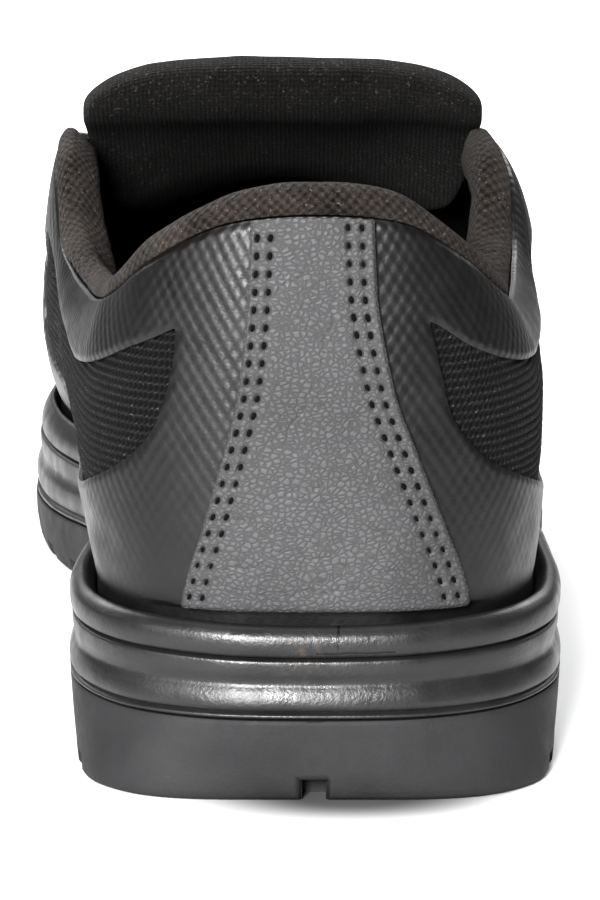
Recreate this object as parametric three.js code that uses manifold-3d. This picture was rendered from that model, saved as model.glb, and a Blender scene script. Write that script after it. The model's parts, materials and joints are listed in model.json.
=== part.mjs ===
import * as THREE from 'three';
import { mergeVertices } from 'three/addons/utils/BufferGeometryUtils.js';
import Module from 'manifold-3d';

// A low work shoe for the right foot, standing empty on the floor. Lengths are in millimetres.
// The toe points along +Y, the outer side of the foot along +X and +Z is up. The origin is on the
// floor, under the middle of the heel.

const wasm = await Module();
wasm.setup();

const { clamp, lerp, smoothstep, degToRad } = THREE.MathUtils;

// Overall sizes of the shoe
const LENGTH = 290;
const HEEL_WIDTH = 84;
const BALL_WIDTH = 104;
const COLLAR_HEIGHT = 102;
const INSTEP_HEIGHT = 87;
const TOE_HEIGHT = 60;

// Place of the heel's middle and start of the toe spring, in shares of the length
const HEEL_CENTRE = 0.131;
const SPRING_START = 0.78;

// Wall thicknesses and the gap that is left between neighbouring pieces
const UPPER_WALL = 2.2;
const WINDOW_DEPTH = 1.0;
const STRIP_THICKNESS = 1.3;
const INSOLE_THICKNESS = 4;
const GAP = 0.3;

// The cup sole: height of its rim at the heel, thickness of the rim, depth of the gutter behind its
// rounded edge, how far the toe is lifted and where the swell of the upper is measured from
const RIM_HEIGHT = 30.3;
const RIM_AT_HEEL = 4.4;
const RIM_AT_BALL = 5.0;
const GUTTER_DEPTH = 1.6;
const TOE_SPRING = 8;
const FEATHER_INSET = 4.5;

// Tread of the outsole
const GROOVE_WIDTH = 5;
const GROOVE_DEPTH = 3.5;
const GROOVE_FLARE = 1;
const NOTCH_WIDTH = 5.2;
const NOTCH_DEPTH = 4;
const BREAST_HEIGHT = 8;
const CHANNEL_START = 0.52;
const CHANNEL_END = 0.93;
const BELOW = 2;

// The padded collar reaches down a share of the way to the girth, and ends beside the tongue
const COLLAR_DEPTH = 0.6;
const COLLAR_END_ROW = 8.5;
const COLLAR_END_PAD = 0.85;

// The tongue: height of its free end, greatest width and thickness of its padding
const TONGUE_HEIGHT = 111;
const TONGUE_WIDTH = 72;
const TONGUE_PADDING = 8;

// The last: one row per station from the heel to the toe. at: place along the length. medial and
// lateral: half widths of the sole. swell: how far the upper stands out past its lower edge on each
// side, in ball widths. girth: height of the widest point. topAt, topMedial, topLateral and top: the
// edge of the opening, or the ridge of the vamp. turn: degrees that the wall leans over up there.
// cuff: height of the textile band above the leather, in collar heights.
const LAST = table(
  ['at', 'medial', 'lateral', 'swellMedial', 'swellLateral', 'girth',
    'topAt', 'topMedial', 'topLateral', 'top', 'turn', 'cuff'],
  [
    [0.000, 0.000, 0.000, 0.012, 0.012, 0.510, 0.019, 0.000, 0.000, 1.000, 50, 0.068],
    [0.006, 0.220, 0.220, 0.013, 0.013, 0.510, 0.026, 0.167, 0.167, 0.982, 50, 0.067],
    [0.030, 0.375, 0.375, 0.015, 0.014, 0.510, 0.050, 0.302, 0.270, 0.916, 50, 0.061],
    [0.075, 0.470, 0.470, 0.023, 0.017, 0.540, 0.093, 0.382, 0.333, 0.836, 50, 0.051],
    [0.134, 0.500, 0.500, 0.035, 0.018, 0.580, 0.148, 0.402, 0.322, 0.797, 50, 0.043],
    [0.200, 0.490, 0.496, 0.066, 0.028, 0.615, 0.203, 0.424, 0.325, 0.778, 50, 0.037],
    [0.255, 0.467, 0.488, 0.107, 0.038, 0.635, 0.252, 0.465, 0.335, 0.785, 50, 0.037],
    [0.300, 0.445, 0.480, 0.139, 0.045, 0.640, 0.290, 0.515, 0.352, 0.825, 54, 0.045],
    [0.334, 0.430, 0.471, 0.163, 0.052, 0.640, 0.324, 0.535, 0.368, 0.937, 60, 0.049],
    [0.386, 0.409, 0.450, 0.182, 0.059, 0.640, 0.369, 0.500, 0.320, 1.000, 70, 0.025],
    [0.452, 0.419, 0.435, 0.160, 0.048, 0.643, 0.452, 0.280, 0.157, 1.000, 82, 0.000],
    [0.517, 0.451, 0.434, 0.112, 0.029, 0.621, 0.503, 0.053, -0.053, 1.000, 90, 0.000],
    [0.600, 0.515, 0.445, 0.041, 0.012, 0.585, 0.593, 0.058, -0.058, 0.926, 90, 0.000],
    [0.690, 0.550, 0.440, 0.023, 0.013, 0.609, 0.672, 0.067, -0.067, 0.912, 90, 0.000],
    [0.779, 0.530, 0.402, 0.023, 0.015, 0.678, 0.745, 0.077, -0.077, 0.940, 90, 0.000],
    [0.859, 0.475, 0.342, 0.025, 0.017, 0.723, 0.807, 0.084, -0.084, 0.982, 90, 0.000],
    [0.930, 0.395, 0.245, 0.027, 0.021, 0.742, 0.852, 0.087, -0.087, 0.999, 90, 0.000],
    [0.979, 0.276, 0.098, 0.028, 0.025, 0.758, 0.876, 0.089, -0.089, 1.004, 90, 0.000],
    [1.000, 0.090, -0.090, 0.029, 0.029, 0.767, 0.886, 0.090, -0.090, 1.008, 90, 0.000],
  ],
);
const ROWS = LAST.length;
const THROAT_ROW = 11;
const LOOP = 2 * (ROWS - 1);
const STEPS_PER_ROW = 2;
const STATIONS = LOOP * STEPS_PER_ROW;
const THROAT_AT = LAST[THROAT_ROW].at;

// Points up the wall of the upper: up to the girth and up to the top. FEATHER_ANGLE is how far the
// wall has already turned upright where it leaves the rim, and FULLNESS rounds its shoulders.
const GIRTH_LEVEL = 5;
const TOP_LEVEL = 12;
const FEATHER_ANGLE = degToRad(52);
const FULLNESS = 0.9;
const SMALL = 0.01;
const SHORTEST_EDGE = 0.01;

// Heights of the sole along the shoe, in rim heights: top of the outsole, floor of the cup, rim
const SOLE = table(
  ['at', 'block', 'cup', 'rim'],
  [
    [0.00, 0.455, 0.680, 1.000],
    [0.25, 0.465, 0.680, 1.000],
    [0.36, 0.530, 0.640, 1.000],
    [0.46, 0.450, 0.550, 0.990],
    [0.55, 0.373, 0.470, 0.975],
    [0.66, 0.330, 0.425, 0.965],
    [0.80, 0.337, 0.430, 0.965],
    [1.00, 0.337, 0.430, 0.930],
  ],
);

// Side wall of the outsole from the floor up: rise in shares of its height, inset in millimetres at
// the heel, at its two rear corners, which are squarer at the floor, and at the ball
const BLOCK_WALL = table(
  ['rise', 'heel', 'corner', 'ball'],
  [
    [0.00, 1.2, -2.6, 1.6],
    [0.22, 0.7, -2.5, 0.7],
    [0.60, 0.3, -1.4, 0.1],
    [1.00, 0.0, 0.0, 0.0],
  ],
);

// Side wall of the midsole from its lower edge to its rim, with two grooves and a bulge between
const CUP_WALL = table(
  ['rise', 'heel', 'ball'],
  [
    [0.00, 0.5, 0.6],
    [0.04, 0.0, 0.2],
    [0.08, 0.6, 0.9],
    [0.21, 0.0, 0.2],
    [0.41, 0.9, 1.1],
    [0.55, 0.3, 0.9],
    [0.61, 1.3, 1.9],
    [0.67, 0.3, 1.1],
    [0.80, 0.0, 1.6],
    [0.92, 0.6, 2.5],
    [1.00, 1.8, 3.4],
  ],
);

// Tongue from its free end down to its root under the vamp: width, sag of its sides in tongue
// widths, roundness of its arch and padding
const TONGUE = table(
  ['at', 'width', 'top', 'sag', 'power', 'padding'],
  [
    [0.327, 0.94, 0.978, 0.13, 4.6, 0.45],
    [0.334, 0.99, 1.000, 0.14, 4.4, 0.85],
    [0.360, 1.00, 0.984, 0.17, 3.4, 1.00],
    [0.400, 0.95, 0.941, 0.20, 2.8, 1.00],
    [0.450, 0.82, 0.876, 0.19, 2.4, 0.85],
    [0.500, 0.68, 0.806, 0.17, 2.0, 0.60],
    [0.545, 0.56, 0.736, 0.14, 2.0, 0.35],
    [0.575, 0.48, 0.686, 0.11, 2.0, 0.25],
  ],
);

// Section of the padded collar: how far down from its crest, in heights of the band that shows above
// the leather and in depths of the padding, and how far in from the outer face of the upper
const COLLAR = table(
  ['band', 'depth', 'inset'],
  [
    [1.0, 0.00, 0.2],
    [0.6, 0.00, -0.3],
    [0.2, 0.00, 0.5],
    [0.0, 0.00, 2.4],
    [0.0, 0.02, 5.0],
    [0.0, 0.10, 7.8],
    [0.0, 0.30, 9.2],
    [0.0, 0.60, 8.0],
    [0.0, 0.85, 5.2],
    [0.0, 1.00, 2.9],
  ],
);

// Knit windows in the sides, as a share of the length and of the collar height
const MEDIAL_WINDOW = [
  [0.0262, 0.690], [0.0267, 0.762], [0.035, 0.741], [0.049, 0.718], [0.072, 0.689], [0.100, 0.668],
  [0.150, 0.650], [0.195, 0.655], [0.235, 0.665], [0.265, 0.685], [0.300, 0.720], [0.335, 0.770],
  [0.375, 0.755], [0.410, 0.680], [0.425, 0.590], [0.380, 0.490], [0.260, 0.440], [0.140, 0.445],
  [0.079, 0.487], [0.051, 0.525], [0.038, 0.557], [0.031, 0.594], [0.028, 0.635],
];
const LATERAL_WINDOW = [
  [0.0213, 0.690], [0.0205, 0.776], [0.032, 0.730], [0.045, 0.708], [0.066, 0.690], [0.100, 0.680],
  [0.150, 0.672], [0.195, 0.664], [0.235, 0.665], [0.265, 0.685], [0.300, 0.720], [0.335, 0.770],
  [0.375, 0.755], [0.410, 0.680], [0.425, 0.590], [0.380, 0.490], [0.260, 0.440], [0.140, 0.445],
  [0.080, 0.482], [0.051, 0.513], [0.035, 0.542], [0.027, 0.580], [0.023, 0.618],
];

// Heel strip seen from behind: height in collar heights, left and right edge in heel widths
const HEEL_STRIP = table(
  ['height', 'left', 'right'],
  [
    [0.309, -0.258, 0.295],
    [0.347, -0.250, 0.289],
    [0.440, -0.218, 0.250],
    [0.540, -0.185, 0.205],
    [0.660, -0.150, 0.152],
    [0.815, -0.130, 0.117],
    [1.100, -0.118, 0.106],
  ],
);

// Underside of the waist, from the breast of the heel to the ball, in breast heights
const WAIST = table(
  ['at', 'height'],
  [
    [0.272, -0.3],
    [0.495, -0.3],
    [0.490, 0.05],
    [0.465, 0.25],
    [0.430, 0.62],
    [0.390, 0.95],
    [0.340, 1.06],
    [0.286, 1.00],
  ],
);

// Places of the cross grooves in the tread
const GROOVES = [0.069, 0.172, 0.545, 0.602, 0.659, 0.716, 0.773, 0.830, 0.887, 0.944];

// Turns rows of numbers into records with the given names
function table(names, rows) {
  return rows.map((row) => Object.fromEntries(names.map((name, i) => [name, row[i]])));
}

// Value of a column between two rows of a table, straight from row to row
function column(rows, key, name, at) {
  let i = 1;
  while (i < rows.length - 1 && rows[i][key] < at) {
    i += 1;
  }
  const low = rows[i - 1];
  const high = rows[i];
  const share = clamp((at - low[key]) / (high[key] - low[key]), 0, 1);
  return lerp(low[name], high[name], share);
}

// Value of a column at a fractional row, on a smooth curve through the rows
function smoothColumn(rows, name, place) {
  const end = rows.length - 1;
  const i = Math.min(Math.floor(place), end - 1);
  const value = (n) => rows[clamp(n, 0, end)][name];
  const t = place - i;
  const slopeIn = (value(i + 1) - value(i - 1)) / 2;
  const slopeOut = (value(i + 2) - value(i)) / 2;
  const rise = value(i + 1) - value(i);
  const square = 3 * rise - 2 * slopeIn - slopeOut;
  const cube = slopeIn + slopeOut - 2 * rise;
  return value(i) + slopeIn * t + square * t * t + cube * t * t * t;
}

function widthAt(at) {
  return lerp(HEEL_WIDTH, BALL_WIDTH, smoothstep(at, 0.3, 0.6));
}

function heightAt(at) {
  if (at < THROAT_AT) {
    return lerp(COLLAR_HEIGHT, INSTEP_HEIGHT, smoothstep(at, 0.3, THROAT_AT));
  }
  return lerp(INSTEP_HEIGHT, TOE_HEIGHT, smoothstep(at, THROAT_AT, 0.9));
}

// Lift of the sole over the toes
function springAt(at) {
  const share = Math.max(0, (at - SPRING_START) / (1 - SPRING_START));
  return TOE_SPRING * share * share;
}

// Share of the forefoot's profile in the side wall of the sole
function foreShare(at) {
  return smoothstep(at, 0.35, 0.6);
}

function soleHeight(name, at) {
  return column(SOLE, 'at', name, at) * RIM_HEIGHT + springAt(at);
}

function rimThickness(at) {
  return lerp(RIM_AT_HEEL, RIM_AT_BALL, foreShare(at));
}

// A place around the shoe is a number that counts the rows of the last, from 0 at the heel along
// the inner side to ROWS - 1 at the toe, and back along the outer side
function rowOf(loop) {
  return loop <= ROWS - 1 ? loop : LOOP - loop;
}

function sideOf(loop) {
  return loop <= ROWS - 1 ? -1 : 1;
}

function solePointOfRow(loop) {
  const row = LAST[rowOf(loop)];
  const half = sideOf(loop) < 0 ? row.medial : row.lateral;
  return new THREE.Vector3(sideOf(loop) * half * widthAt(row.at), row.at * LENGTH, 0);
}

function topPointOfRow(loop) {
  const row = LAST[rowOf(loop)];
  const half = sideOf(loop) < 0 ? row.topMedial : row.topLateral;
  const x = sideOf(loop) * half * widthAt(row.topAt);
  return new THREE.Vector3(x, row.topAt * LENGTH, row.top * heightAt(row.topAt));
}

const loopRows = Array.from({ length: LOOP }, (_, loop) => loop);
const outline = new THREE.CatmullRomCurve3(loopRows.map(solePointOfRow), true);

// Point of the sole's outline, moved in across the edge
function outlinePoint(loop, inset, z) {
  const share = ((loop + LOOP) % LOOP) / LOOP;
  const tangent = outline.getTangent(share);
  const inward = new THREE.Vector3(tangent.y, -tangent.x, 0).normalize();
  return outline.getPoint(share).addScaledVector(inward, inset).setZ(z);
}

function girthPointOfRow(loop) {
  const row = LAST[rowOf(loop)];
  const swell = sideOf(loop) < 0 ? row.swellMedial : row.swellLateral;
  return outlinePoint(loop, FEATHER_INSET - swell * BALL_WIDTH, row.girth * heightAt(row.at));
}

const girthLine = new THREE.CatmullRomCurve3(loopRows.map(girthPointOfRow), true);

// The edge of the opening runs from the throat around the heel and back to the throat, and the
// ridge of the vamp from the throat to the toe
const openingRows = Array.from({ length: 2 * THROAT_ROW }, (_, i) => (THROAT_ROW - i + LOOP) % LOOP);
const openingEdge = new THREE.CatmullRomCurve3(openingRows.map(topPointOfRow), true);
const ridge = new THREE.CatmullRomCurve3(loopRows.slice(THROAT_ROW, ROWS).map(topPointOfRow));
const throat = topPointOfRow(THROAT_ROW);
const openingFront = LAST[THROAT_ROW - 2].topAt * LENGTH;

function ridgeShare(loop) {
  return (rowOf(loop) - THROAT_ROW) / (ROWS - 1 - THROAT_ROW);
}

// Upper end of the wall. reach moves the edge of the opening towards the middle of the throat.
function topPoint(loop, reach) {
  const row = rowOf(loop);
  const onRidge = row >= THROAT_ROW;
  const share = onRidge ? ridgeShare(loop) : (THROAT_ROW + sideOf(loop) * row) / (2 * THROAT_ROW);
  const point = (onRidge ? ridge : openingEdge).getPoint(share);
  if (row > THROAT_ROW) {
    return point;
  }
  const middle = new THREE.Vector3(throat.x, openingFront, point.z);
  return point.addScaledVector(middle.sub(point).normalize(), reach);
}

// Point of the upper's outer face. level counts the points up the wall: the first lies on the floor
// of the cup, the second at the rim, then follow those up to the girth and those over to the top.
// down is the height left out below the edge of the opening, which is the textile band's by default.
function wallPoint(loop, level, { reach = 0, down = null } = {}) {
  const row = rowOf(loop);
  const at = smoothColumn(LAST, 'at', row);
  const feather = outlinePoint(loop, rimThickness(at) + GAP, soleHeight('rim', at) + GAP);
  if (level <= 1) {
    return feather.setZ(lerp(soleHeight('cup', at) + GAP, feather.z, level));
  }
  const girth = girthLine.getPoint(((loop + LOOP) % LOOP) / LOOP);
  if (level <= GIRTH_LEVEL) {
    const angle = lerp(FEATHER_ANGLE, Math.PI / 2, (level - 1) / (GIRTH_LEVEL - 1));
    const out = (Math.sin(angle) - Math.sin(FEATHER_ANGLE)) / (1 - Math.sin(FEATHER_ANGLE));
    const fall = Math.cos(angle) / Math.cos(FEATHER_ANGLE);
    const low = feather.z;
    return feather.lerp(girth, out).setZ(lerp(girth.z, low, fall));
  }
  const top = topPoint(loop, reach);
  const turn = degToRad(Math.min(90, smoothColumn(LAST, 'turn', row)));
  const band = down ?? smoothColumn(LAST, 'cuff', row) * COLLAR_HEIGHT;
  const share = 1 - clamp(band / (top.z - girth.z), 0, 1);
  const end = Math.asin(share ** (1 / FULLNESS) * Math.sin(turn));
  const angle = end * (level - GIRTH_LEVEL) / (TOP_LEVEL - GIRTH_LEVEL);
  const across = Math.max(0, (Math.cos(angle) - Math.cos(turn)) / (1 - Math.cos(turn)));
  const up = Math.sin(angle) / Math.sin(turn);
  const point = top.clone().lerp(girth, across ** FULLNESS);
  return point.setZ(lerp(girth.z, top.z, up ** FULLNESS));
}

// Direction out of the upper's outer face
function wallNormal(loop, level, options) {
  if (level === TOP_LEVEL && rowOf(loop) >= THROAT_ROW) {
    return new THREE.Vector3(1, 0, 0).cross(ridge.getTangent(ridgeShare(loop))).normalize();
  }
  const along = wallPoint(loop + SMALL, level, options).sub(wallPoint(loop - SMALL, level, options));
  const above = wallPoint(loop, Math.min(level + SMALL, TOP_LEVEL), options);
  const below = wallPoint(loop, Math.max(level - SMALL, 0), options);
  return above.sub(below).cross(along).normalize();
}

// Solid from flat lists of points and triangles
function solid(points, triangles) {
  const shape = new THREE.BufferGeometry();
  const flat = triangles.flat().flatMap((i) => points[i].toArray());
  shape.setAttribute('position', new THREE.Float32BufferAttribute(flat, 3));
  return toManifold(shape);
}

function toManifold(geometry) {
  const bare = new THREE.BufferGeometry();
  bare.setAttribute('position', geometry.getAttribute('position'));
  bare.setIndex(geometry.getIndex());
  const merged = mergeVertices(bare, 1e-4);
  const index = Array.from(merged.getIndex().array);
  const kept = [];
  for (let i = 0; i < index.length; i += 3) {
    const [a, b, c] = index.slice(i, i + 3);
    if (a !== b && b !== c && c !== a) {
      kept.push(a, b, c);
    }
  }
  const vertProperties = Float32Array.from(merged.getAttribute('position').array);
  return new wasm.Manifold(new wasm.Mesh({ numProp: 3, vertProperties, triVerts: Uint32Array.from(kept) }));
}

// Corners that share an edge with a given corner
function neighbours(faces, corner) {
  const found = new Set(faces.filter((face) => face.includes(corner)).flat());
  found.delete(corner);
  return found;
}

// Faces of a closed surface without the edges that a cut left shorter than a hundredth of a
// millimetre. An edge is drawn together to a point where that keeps the surface closed.
function withoutShortEdges(corners, faces) {
  let kept = faces;
  const short = (a, b) => a < b && corners[a].distanceTo(corners[b]) < SHORTEST_EDGE;
  const edges = faces.flatMap(([a, b, c]) => [[a, b], [b, c], [c, a], [b, a], [c, b], [a, c]]);
  for (const [a, b] of edges.filter(([from, to]) => short(from, to))) {
    const around = neighbours(kept, a);
    const shared = [...neighbours(kept, b)].filter((corner) => around.has(corner));
    if (around.has(b) && shared.length === 2) {
      const moved = kept.map((face) => face.map((corner) => (corner === b ? a : corner)));
      kept = moved.filter((face) => new Set(face).size === 3);
    }
  }
  return kept;
}

function toGeometry(manifold) {
  const mesh = manifold.getMesh();
  const corners = [];
  for (let i = 0; i < mesh.vertProperties.length; i += 3) {
    corners.push(new THREE.Vector3().fromArray(mesh.vertProperties, i));
  }
  const faces = [];
  for (let i = 0; i < mesh.triVerts.length; i += 3) {
    faces.push(Array.from(mesh.triVerts.slice(i, i + 3)));
  }
  const geometry = new THREE.BufferGeometry();
  geometry.setAttribute('position', new THREE.Float32BufferAttribute(mesh.vertProperties, 3));
  geometry.setIndex(withoutShortEdges(corners, faces).flat());
  geometry.computeVertexNormals();
  return geometry;
}

// Closed solid through rings of points that run around the shoe, from the lowest ring up. Its two
// ends are closed by rungs from the inner side to the outer side.
function ringSolid(rings) {
  const count = rings[0].length;
  const triangles = [];
  const quad = (a, b, c, d) => triangles.push([a, b, c], [a, c, d]);
  for (let r = 0; r < rings.length - 1; r += 1) {
    for (let i = 0; i < count; i += 1) {
      const next = (i + 1) % count;
      quad(r * count + i, (r + 1) * count + i, (r + 1) * count + next, r * count + next);
    }
  }
  const top = (rings.length - 1) * count;
  for (let i = 0; i < count / 2; i += 1) {
    const rung = [i, i + 1, count - i - 1, (count - i) % count];
    quad(...rung);
    quad(...rung.reverse().map((n) => n + top));
  }
  return solid(rings.flat(), triangles);
}

const stations = Array.from({ length: STATIONS }, (_, i) => i / STEPS_PER_ROW);

// Ring around the sole at the given inset and height, each a function of the place along the length
function soleRing(insetAt, heightOf) {
  return stations.map((loop) => {
    const at = smoothColumn(LAST, 'at', rowOf(loop));
    return outlinePoint(loop, insetAt(at, rowOf(loop)), heightOf(at));
  });
}

// How far a place counts as one of the rear corners of the heel
function cornerShare(row) {
  return smoothstep(row, 0.2, 1.9) * (1 - smoothstep(row, 2.2, 3.6));
}

function wallInset(row, at) {
  return lerp(row.heel, row.ball, foreShare(at));
}

// Prism over a polygon of lengthwise places and heights, running across the shoe
function crossPrism(points, from, to) {
  const shape = new THREE.Shape(points.map(([y, z]) => new THREE.Vector2(y, z)));
  const prism = new THREE.ExtrudeGeometry(shape, { depth: to - from, bevelEnabled: false });
  const turned = new THREE.Matrix4().makeBasis(
    new THREE.Vector3(0, 1, 0),
    new THREE.Vector3(0, 0, 1),
    new THREE.Vector3(1, 0, 0),
  );
  return toManifold(prism.applyMatrix4(turned).translate(from, 0, 0));
}

// Prism over a polygon of places across the shoe and heights, running along it
function lengthPrism(points, from, to) {
  const shape = new THREE.Shape(points.map(([x, z]) => new THREE.Vector2(x, z)));
  const prism = new THREE.ExtrudeGeometry(shape, { depth: to - from, bevelEnabled: false });
  return toManifold(prism.rotateX(Math.PI / 2).translate(0, to, 0));
}

// Groove across the tread, wider at the floor than at its ceiling
function groove(at) {
  const half = GROOVE_WIDTH / 2;
  const floor = springAt(at);
  return crossPrism([
    [at * LENGTH - half - GROOVE_FLARE, floor - BELOW],
    [at * LENGTH + half + GROOVE_FLARE, floor - BELOW],
    [at * LENGTH + half, floor + GROOVE_DEPTH],
    [at * LENGTH - half, floor + GROOVE_DEPTH],
  ], -BALL_WIDTH, BALL_WIDTH);
}

// Points of the curve under the toes, lifted by a height
function springLine(from, to, lift) {
  const count = 8;
  return Array.from({ length: count + 1 }, (_, i) => {
    const at = lerp(from, to, i / count);
    return [at * LENGTH, springAt(at) + lift];
  });
}

function buildOutsole() {
  const rings = BLOCK_WALL.map((wall) => soleRing(
    (at, row) => lerp(wallInset(wall, at), wall.corner, cornerShare(row)),
    (at) => wall.rise * soleHeight('block', at),
  ));
  const cuts = GROOVES.map(groove);
  cuts.push(crossPrism(
    WAIST.map(({ at, height }) => [at * LENGTH, height * BREAST_HEIGHT]),
    -BALL_WIDTH,
    BALL_WIDTH,
  ));
  const toe = springLine(SPRING_START, 1.05, 0);
  cuts.push(crossPrism([[1.05 * LENGTH, -BELOW], ...toe.reverse(), [SPRING_START * LENGTH, -BELOW]],
    -BALL_WIDTH, BALL_WIDTH));
  const ceiling = springLine(CHANNEL_START, CHANNEL_END, GROOVE_DEPTH * 0.7);
  cuts.push(crossPrism(
    [[CHANNEL_START * LENGTH, -BELOW], [CHANNEL_END * LENGTH, -BELOW], ...ceiling.reverse()],
    throat.x - GROOVE_WIDTH / 2,
    throat.x + GROOVE_WIDTH / 2,
  ));
  const half = NOTCH_WIDTH / 2;
  cuts.push(lengthPrism([
    [-half - GROOVE_FLARE, -BELOW],
    [half + GROOVE_FLARE, -BELOW],
    [half, GROOVE_DEPTH],
    [-half, GROOVE_DEPTH],
  ], -NOTCH_DEPTH, NOTCH_DEPTH));
  return cuts.reduce((body, cut) => body.subtract(cut), ringSolid(rings));
}

function buildMidsole() {
  const base = (at) => soleHeight('block', at) + GAP;
  const rings = CUP_WALL.map((row) => soleRing(
    (at) => wallInset(row, at),
    (at) => lerp(base(at), soleHeight('rim', at), row.rise),
  ));
  rings.push(soleRing(rimThickness, (at) => soleHeight('rim', at) - GUTTER_DEPTH));
  rings.push(soleRing(rimThickness, (at) => soleHeight('cup', at)));
  return ringSolid(rings);
}

function buildInsole() {
  const inset = (at) => rimThickness(at) + GAP + UPPER_WALL + GAP;
  return ringSolid([0, INSOLE_THICKNESS].map((lift) => soleRing(
    inset,
    (at) => soleHeight('cup', at) + GAP + lift,
  )));
}

// Closed shell between two offsets from the upper's outer face, positive ones outwards
function shell(inner, outer, { lowest = 0, reach = 0 } = {}) {
  const levels = Array.from({ length: TOP_LEVEL - lowest + 1 }, (_, i) => lowest + i);
  const points = [];
  for (const offset of [outer, inner]) {
    for (const loop of stations) {
      for (const level of levels) {
        const normal = wallNormal(loop, level, { reach });
        points.push(wallPoint(loop, level, { reach }).addScaledVector(normal, offset));
      }
    }
  }
  const count = levels.length;
  const inside = STATIONS * count;
  const triangles = [];
  const quad = (a, b, c, d) => triangles.push([a, b, c], [a, c, d]);
  for (let i = 0; i < STATIONS; i += 1) {
    const here = i * count;
    const next = ((i + 1) % STATIONS) * count;
    for (let j = 0; j < count - 1; j += 1) {
      quad(here + j, here + j + 1, next + j + 1, next + j);
      quad(inside + here + j, inside + next + j, inside + next + j + 1, inside + here + j + 1);
    }
    quad(here, next, inside + next, inside + here);
    const last = count - 1;
    if (Math.max(rowOf(i / STEPS_PER_ROW), rowOf((i + 1) / STEPS_PER_ROW)) <= THROAT_ROW) {
      quad(here + last, inside + here + last, inside + next + last, next + last);
    }
  }
  return solid(points, triangles);
}

function windowCut(outlinePoints, from, to) {
  const prism = crossPrism(outlinePoints.map(([y, z]) => [y * LENGTH, z * COLLAR_HEIGHT]), from, to);
  return shell(-WINDOW_DEPTH, UPPER_WALL).intersect(prism);
}

function buildUpper() {
  return shell(-UPPER_WALL, 0)
    .subtract(windowCut(MEDIAL_WINDOW, -BALL_WIDTH, 0))
    .subtract(windowCut(LATERAL_WINDOW, 0, BALL_WIDTH));
}

function buildHeelStrip() {
  const foot = RIM_HEIGHT + 4 * GAP;
  const height = (row) => Math.max(row.height * COLLAR_HEIGHT, foot);
  const left = HEEL_STRIP.map((row) => [row.left * HEEL_WIDTH, height(row)]);
  const right = HEEL_STRIP.map((row) => [row.right * HEEL_WIDTH, height(row)]);
  const prism = lengthPrism([...right, ...left.reverse()], -HEEL_WIDTH / 2, HEEL_WIDTH / 2);
  return shell(GAP, GAP + STRIP_THICKNESS).intersect(prism);
}

// Padded collar, from one front corner of the opening around the heel to the other. seat is how far
// in from the outer face its back lies, and grow is extra room on its inner side.
function buildCollar(seat = UPPER_WALL + GAP, grow = 0) {
  const extra = grow > 0 ? 1 : 0;
  const half = COLLAR_END_ROW * STEPS_PER_ROW + extra;
  const places = Array.from({ length: 2 * half + 1 }, (_, i) => (i - half) / STEPS_PER_ROW);
  const back = [{ band: 0, depth: 0.6, inset: seat }, { band: 1, depth: 0, inset: seat }];
  const sections = places.map((place) => {
    const loop = (place + LOOP) % LOOP;
    const row = Math.abs(place);
    const crest = wallPoint(loop, TOP_LEVEL, { down: 0 }).z;
    const depth = COLLAR_DEPTH * (crest - wallPoint(loop, GIRTH_LEVEL).z);
    const band = smoothColumn(LAST, 'cuff', row) * COLLAR_HEIGHT - GAP;
    const pad = lerp(1, COLLAR_END_PAD, smoothstep(row, 6, 8));
    return [...COLLAR, ...back].map((point) => {
      const down = point.band * band + point.depth * depth;
      const inset = point.inset > seat ? seat + (point.inset - seat) * pad + grow : point.inset;
      const options = { down };
      const normal = wallNormal(loop, TOP_LEVEL, options);
      return wallPoint(loop, TOP_LEVEL, options).addScaledVector(normal, -inset);
    });
  });
  return sectionSolid(sections);
}

// Closed solid through sections of points, with flat ends
function sectionSolid(sections) {
  const count = sections[0].length;
  const triangles = [];
  for (let s = 0; s < sections.length - 1; s += 1) {
    for (let i = 0; i < count; i += 1) {
      const next = (i + 1) % count;
      const [a, b] = [s * count + i, s * count + next];
      triangles.push([a, b, b + count], [a, b + count, a + count]);
    }
  }
  for (const [s, turned] of [[0, true], [sections.length - 1, false]]) {
    const section = sections[s];
    const middle = section[0].clone().lerp(section[Math.floor(count / 2)], 0.5);
    const right = section[0].clone().sub(section[Math.floor(count / 2)]).normalize();
    const normal = right.clone().cross(section[Math.floor(count / 4)].clone().sub(middle)).normalize();
    const up = normal.clone().cross(right);
    const flat = section.map((point) => {
      const away = point.clone().sub(middle);
      return new THREE.Vector2(away.dot(right), away.dot(up));
    });
    const clockwise = THREE.ShapeUtils.isClockWise(flat);
    for (const face of THREE.ShapeUtils.triangulateShape(flat, [])) {
      const inOrder = clockwise ? [...face].reverse() : face;
      const ids = inOrder.map((n) => s * count + n);
      triangles.push(turned === clockwise ? ids : ids.reverse());
    }
  }
  return solid(sections.flat(), triangles);
}

function tonguePoint(place, side) {
  const at = smoothColumn(TONGUE, 'at', place);
  const width = smoothColumn(TONGUE, 'width', place) * TONGUE_WIDTH;
  const sag = smoothColumn(TONGUE, 'sag', place) * width;
  const drop = sag * Math.abs(side) ** smoothColumn(TONGUE, 'power', place);
  const top = smoothColumn(TONGUE, 'top', place) * TONGUE_HEIGHT;
  return new THREE.Vector3(throat.x + side * width / 2, at * LENGTH, top - drop);
}

function tongueNormal(place, side) {
  const end = TONGUE.length - 1;
  const along = tonguePoint(Math.min(place + SMALL, end), side);
  along.sub(tonguePoint(Math.max(place - SMALL, 0), side));
  const across = tonguePoint(place, side + SMALL).sub(tonguePoint(place, side - SMALL));
  return across.cross(along).normalize();
}

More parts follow.
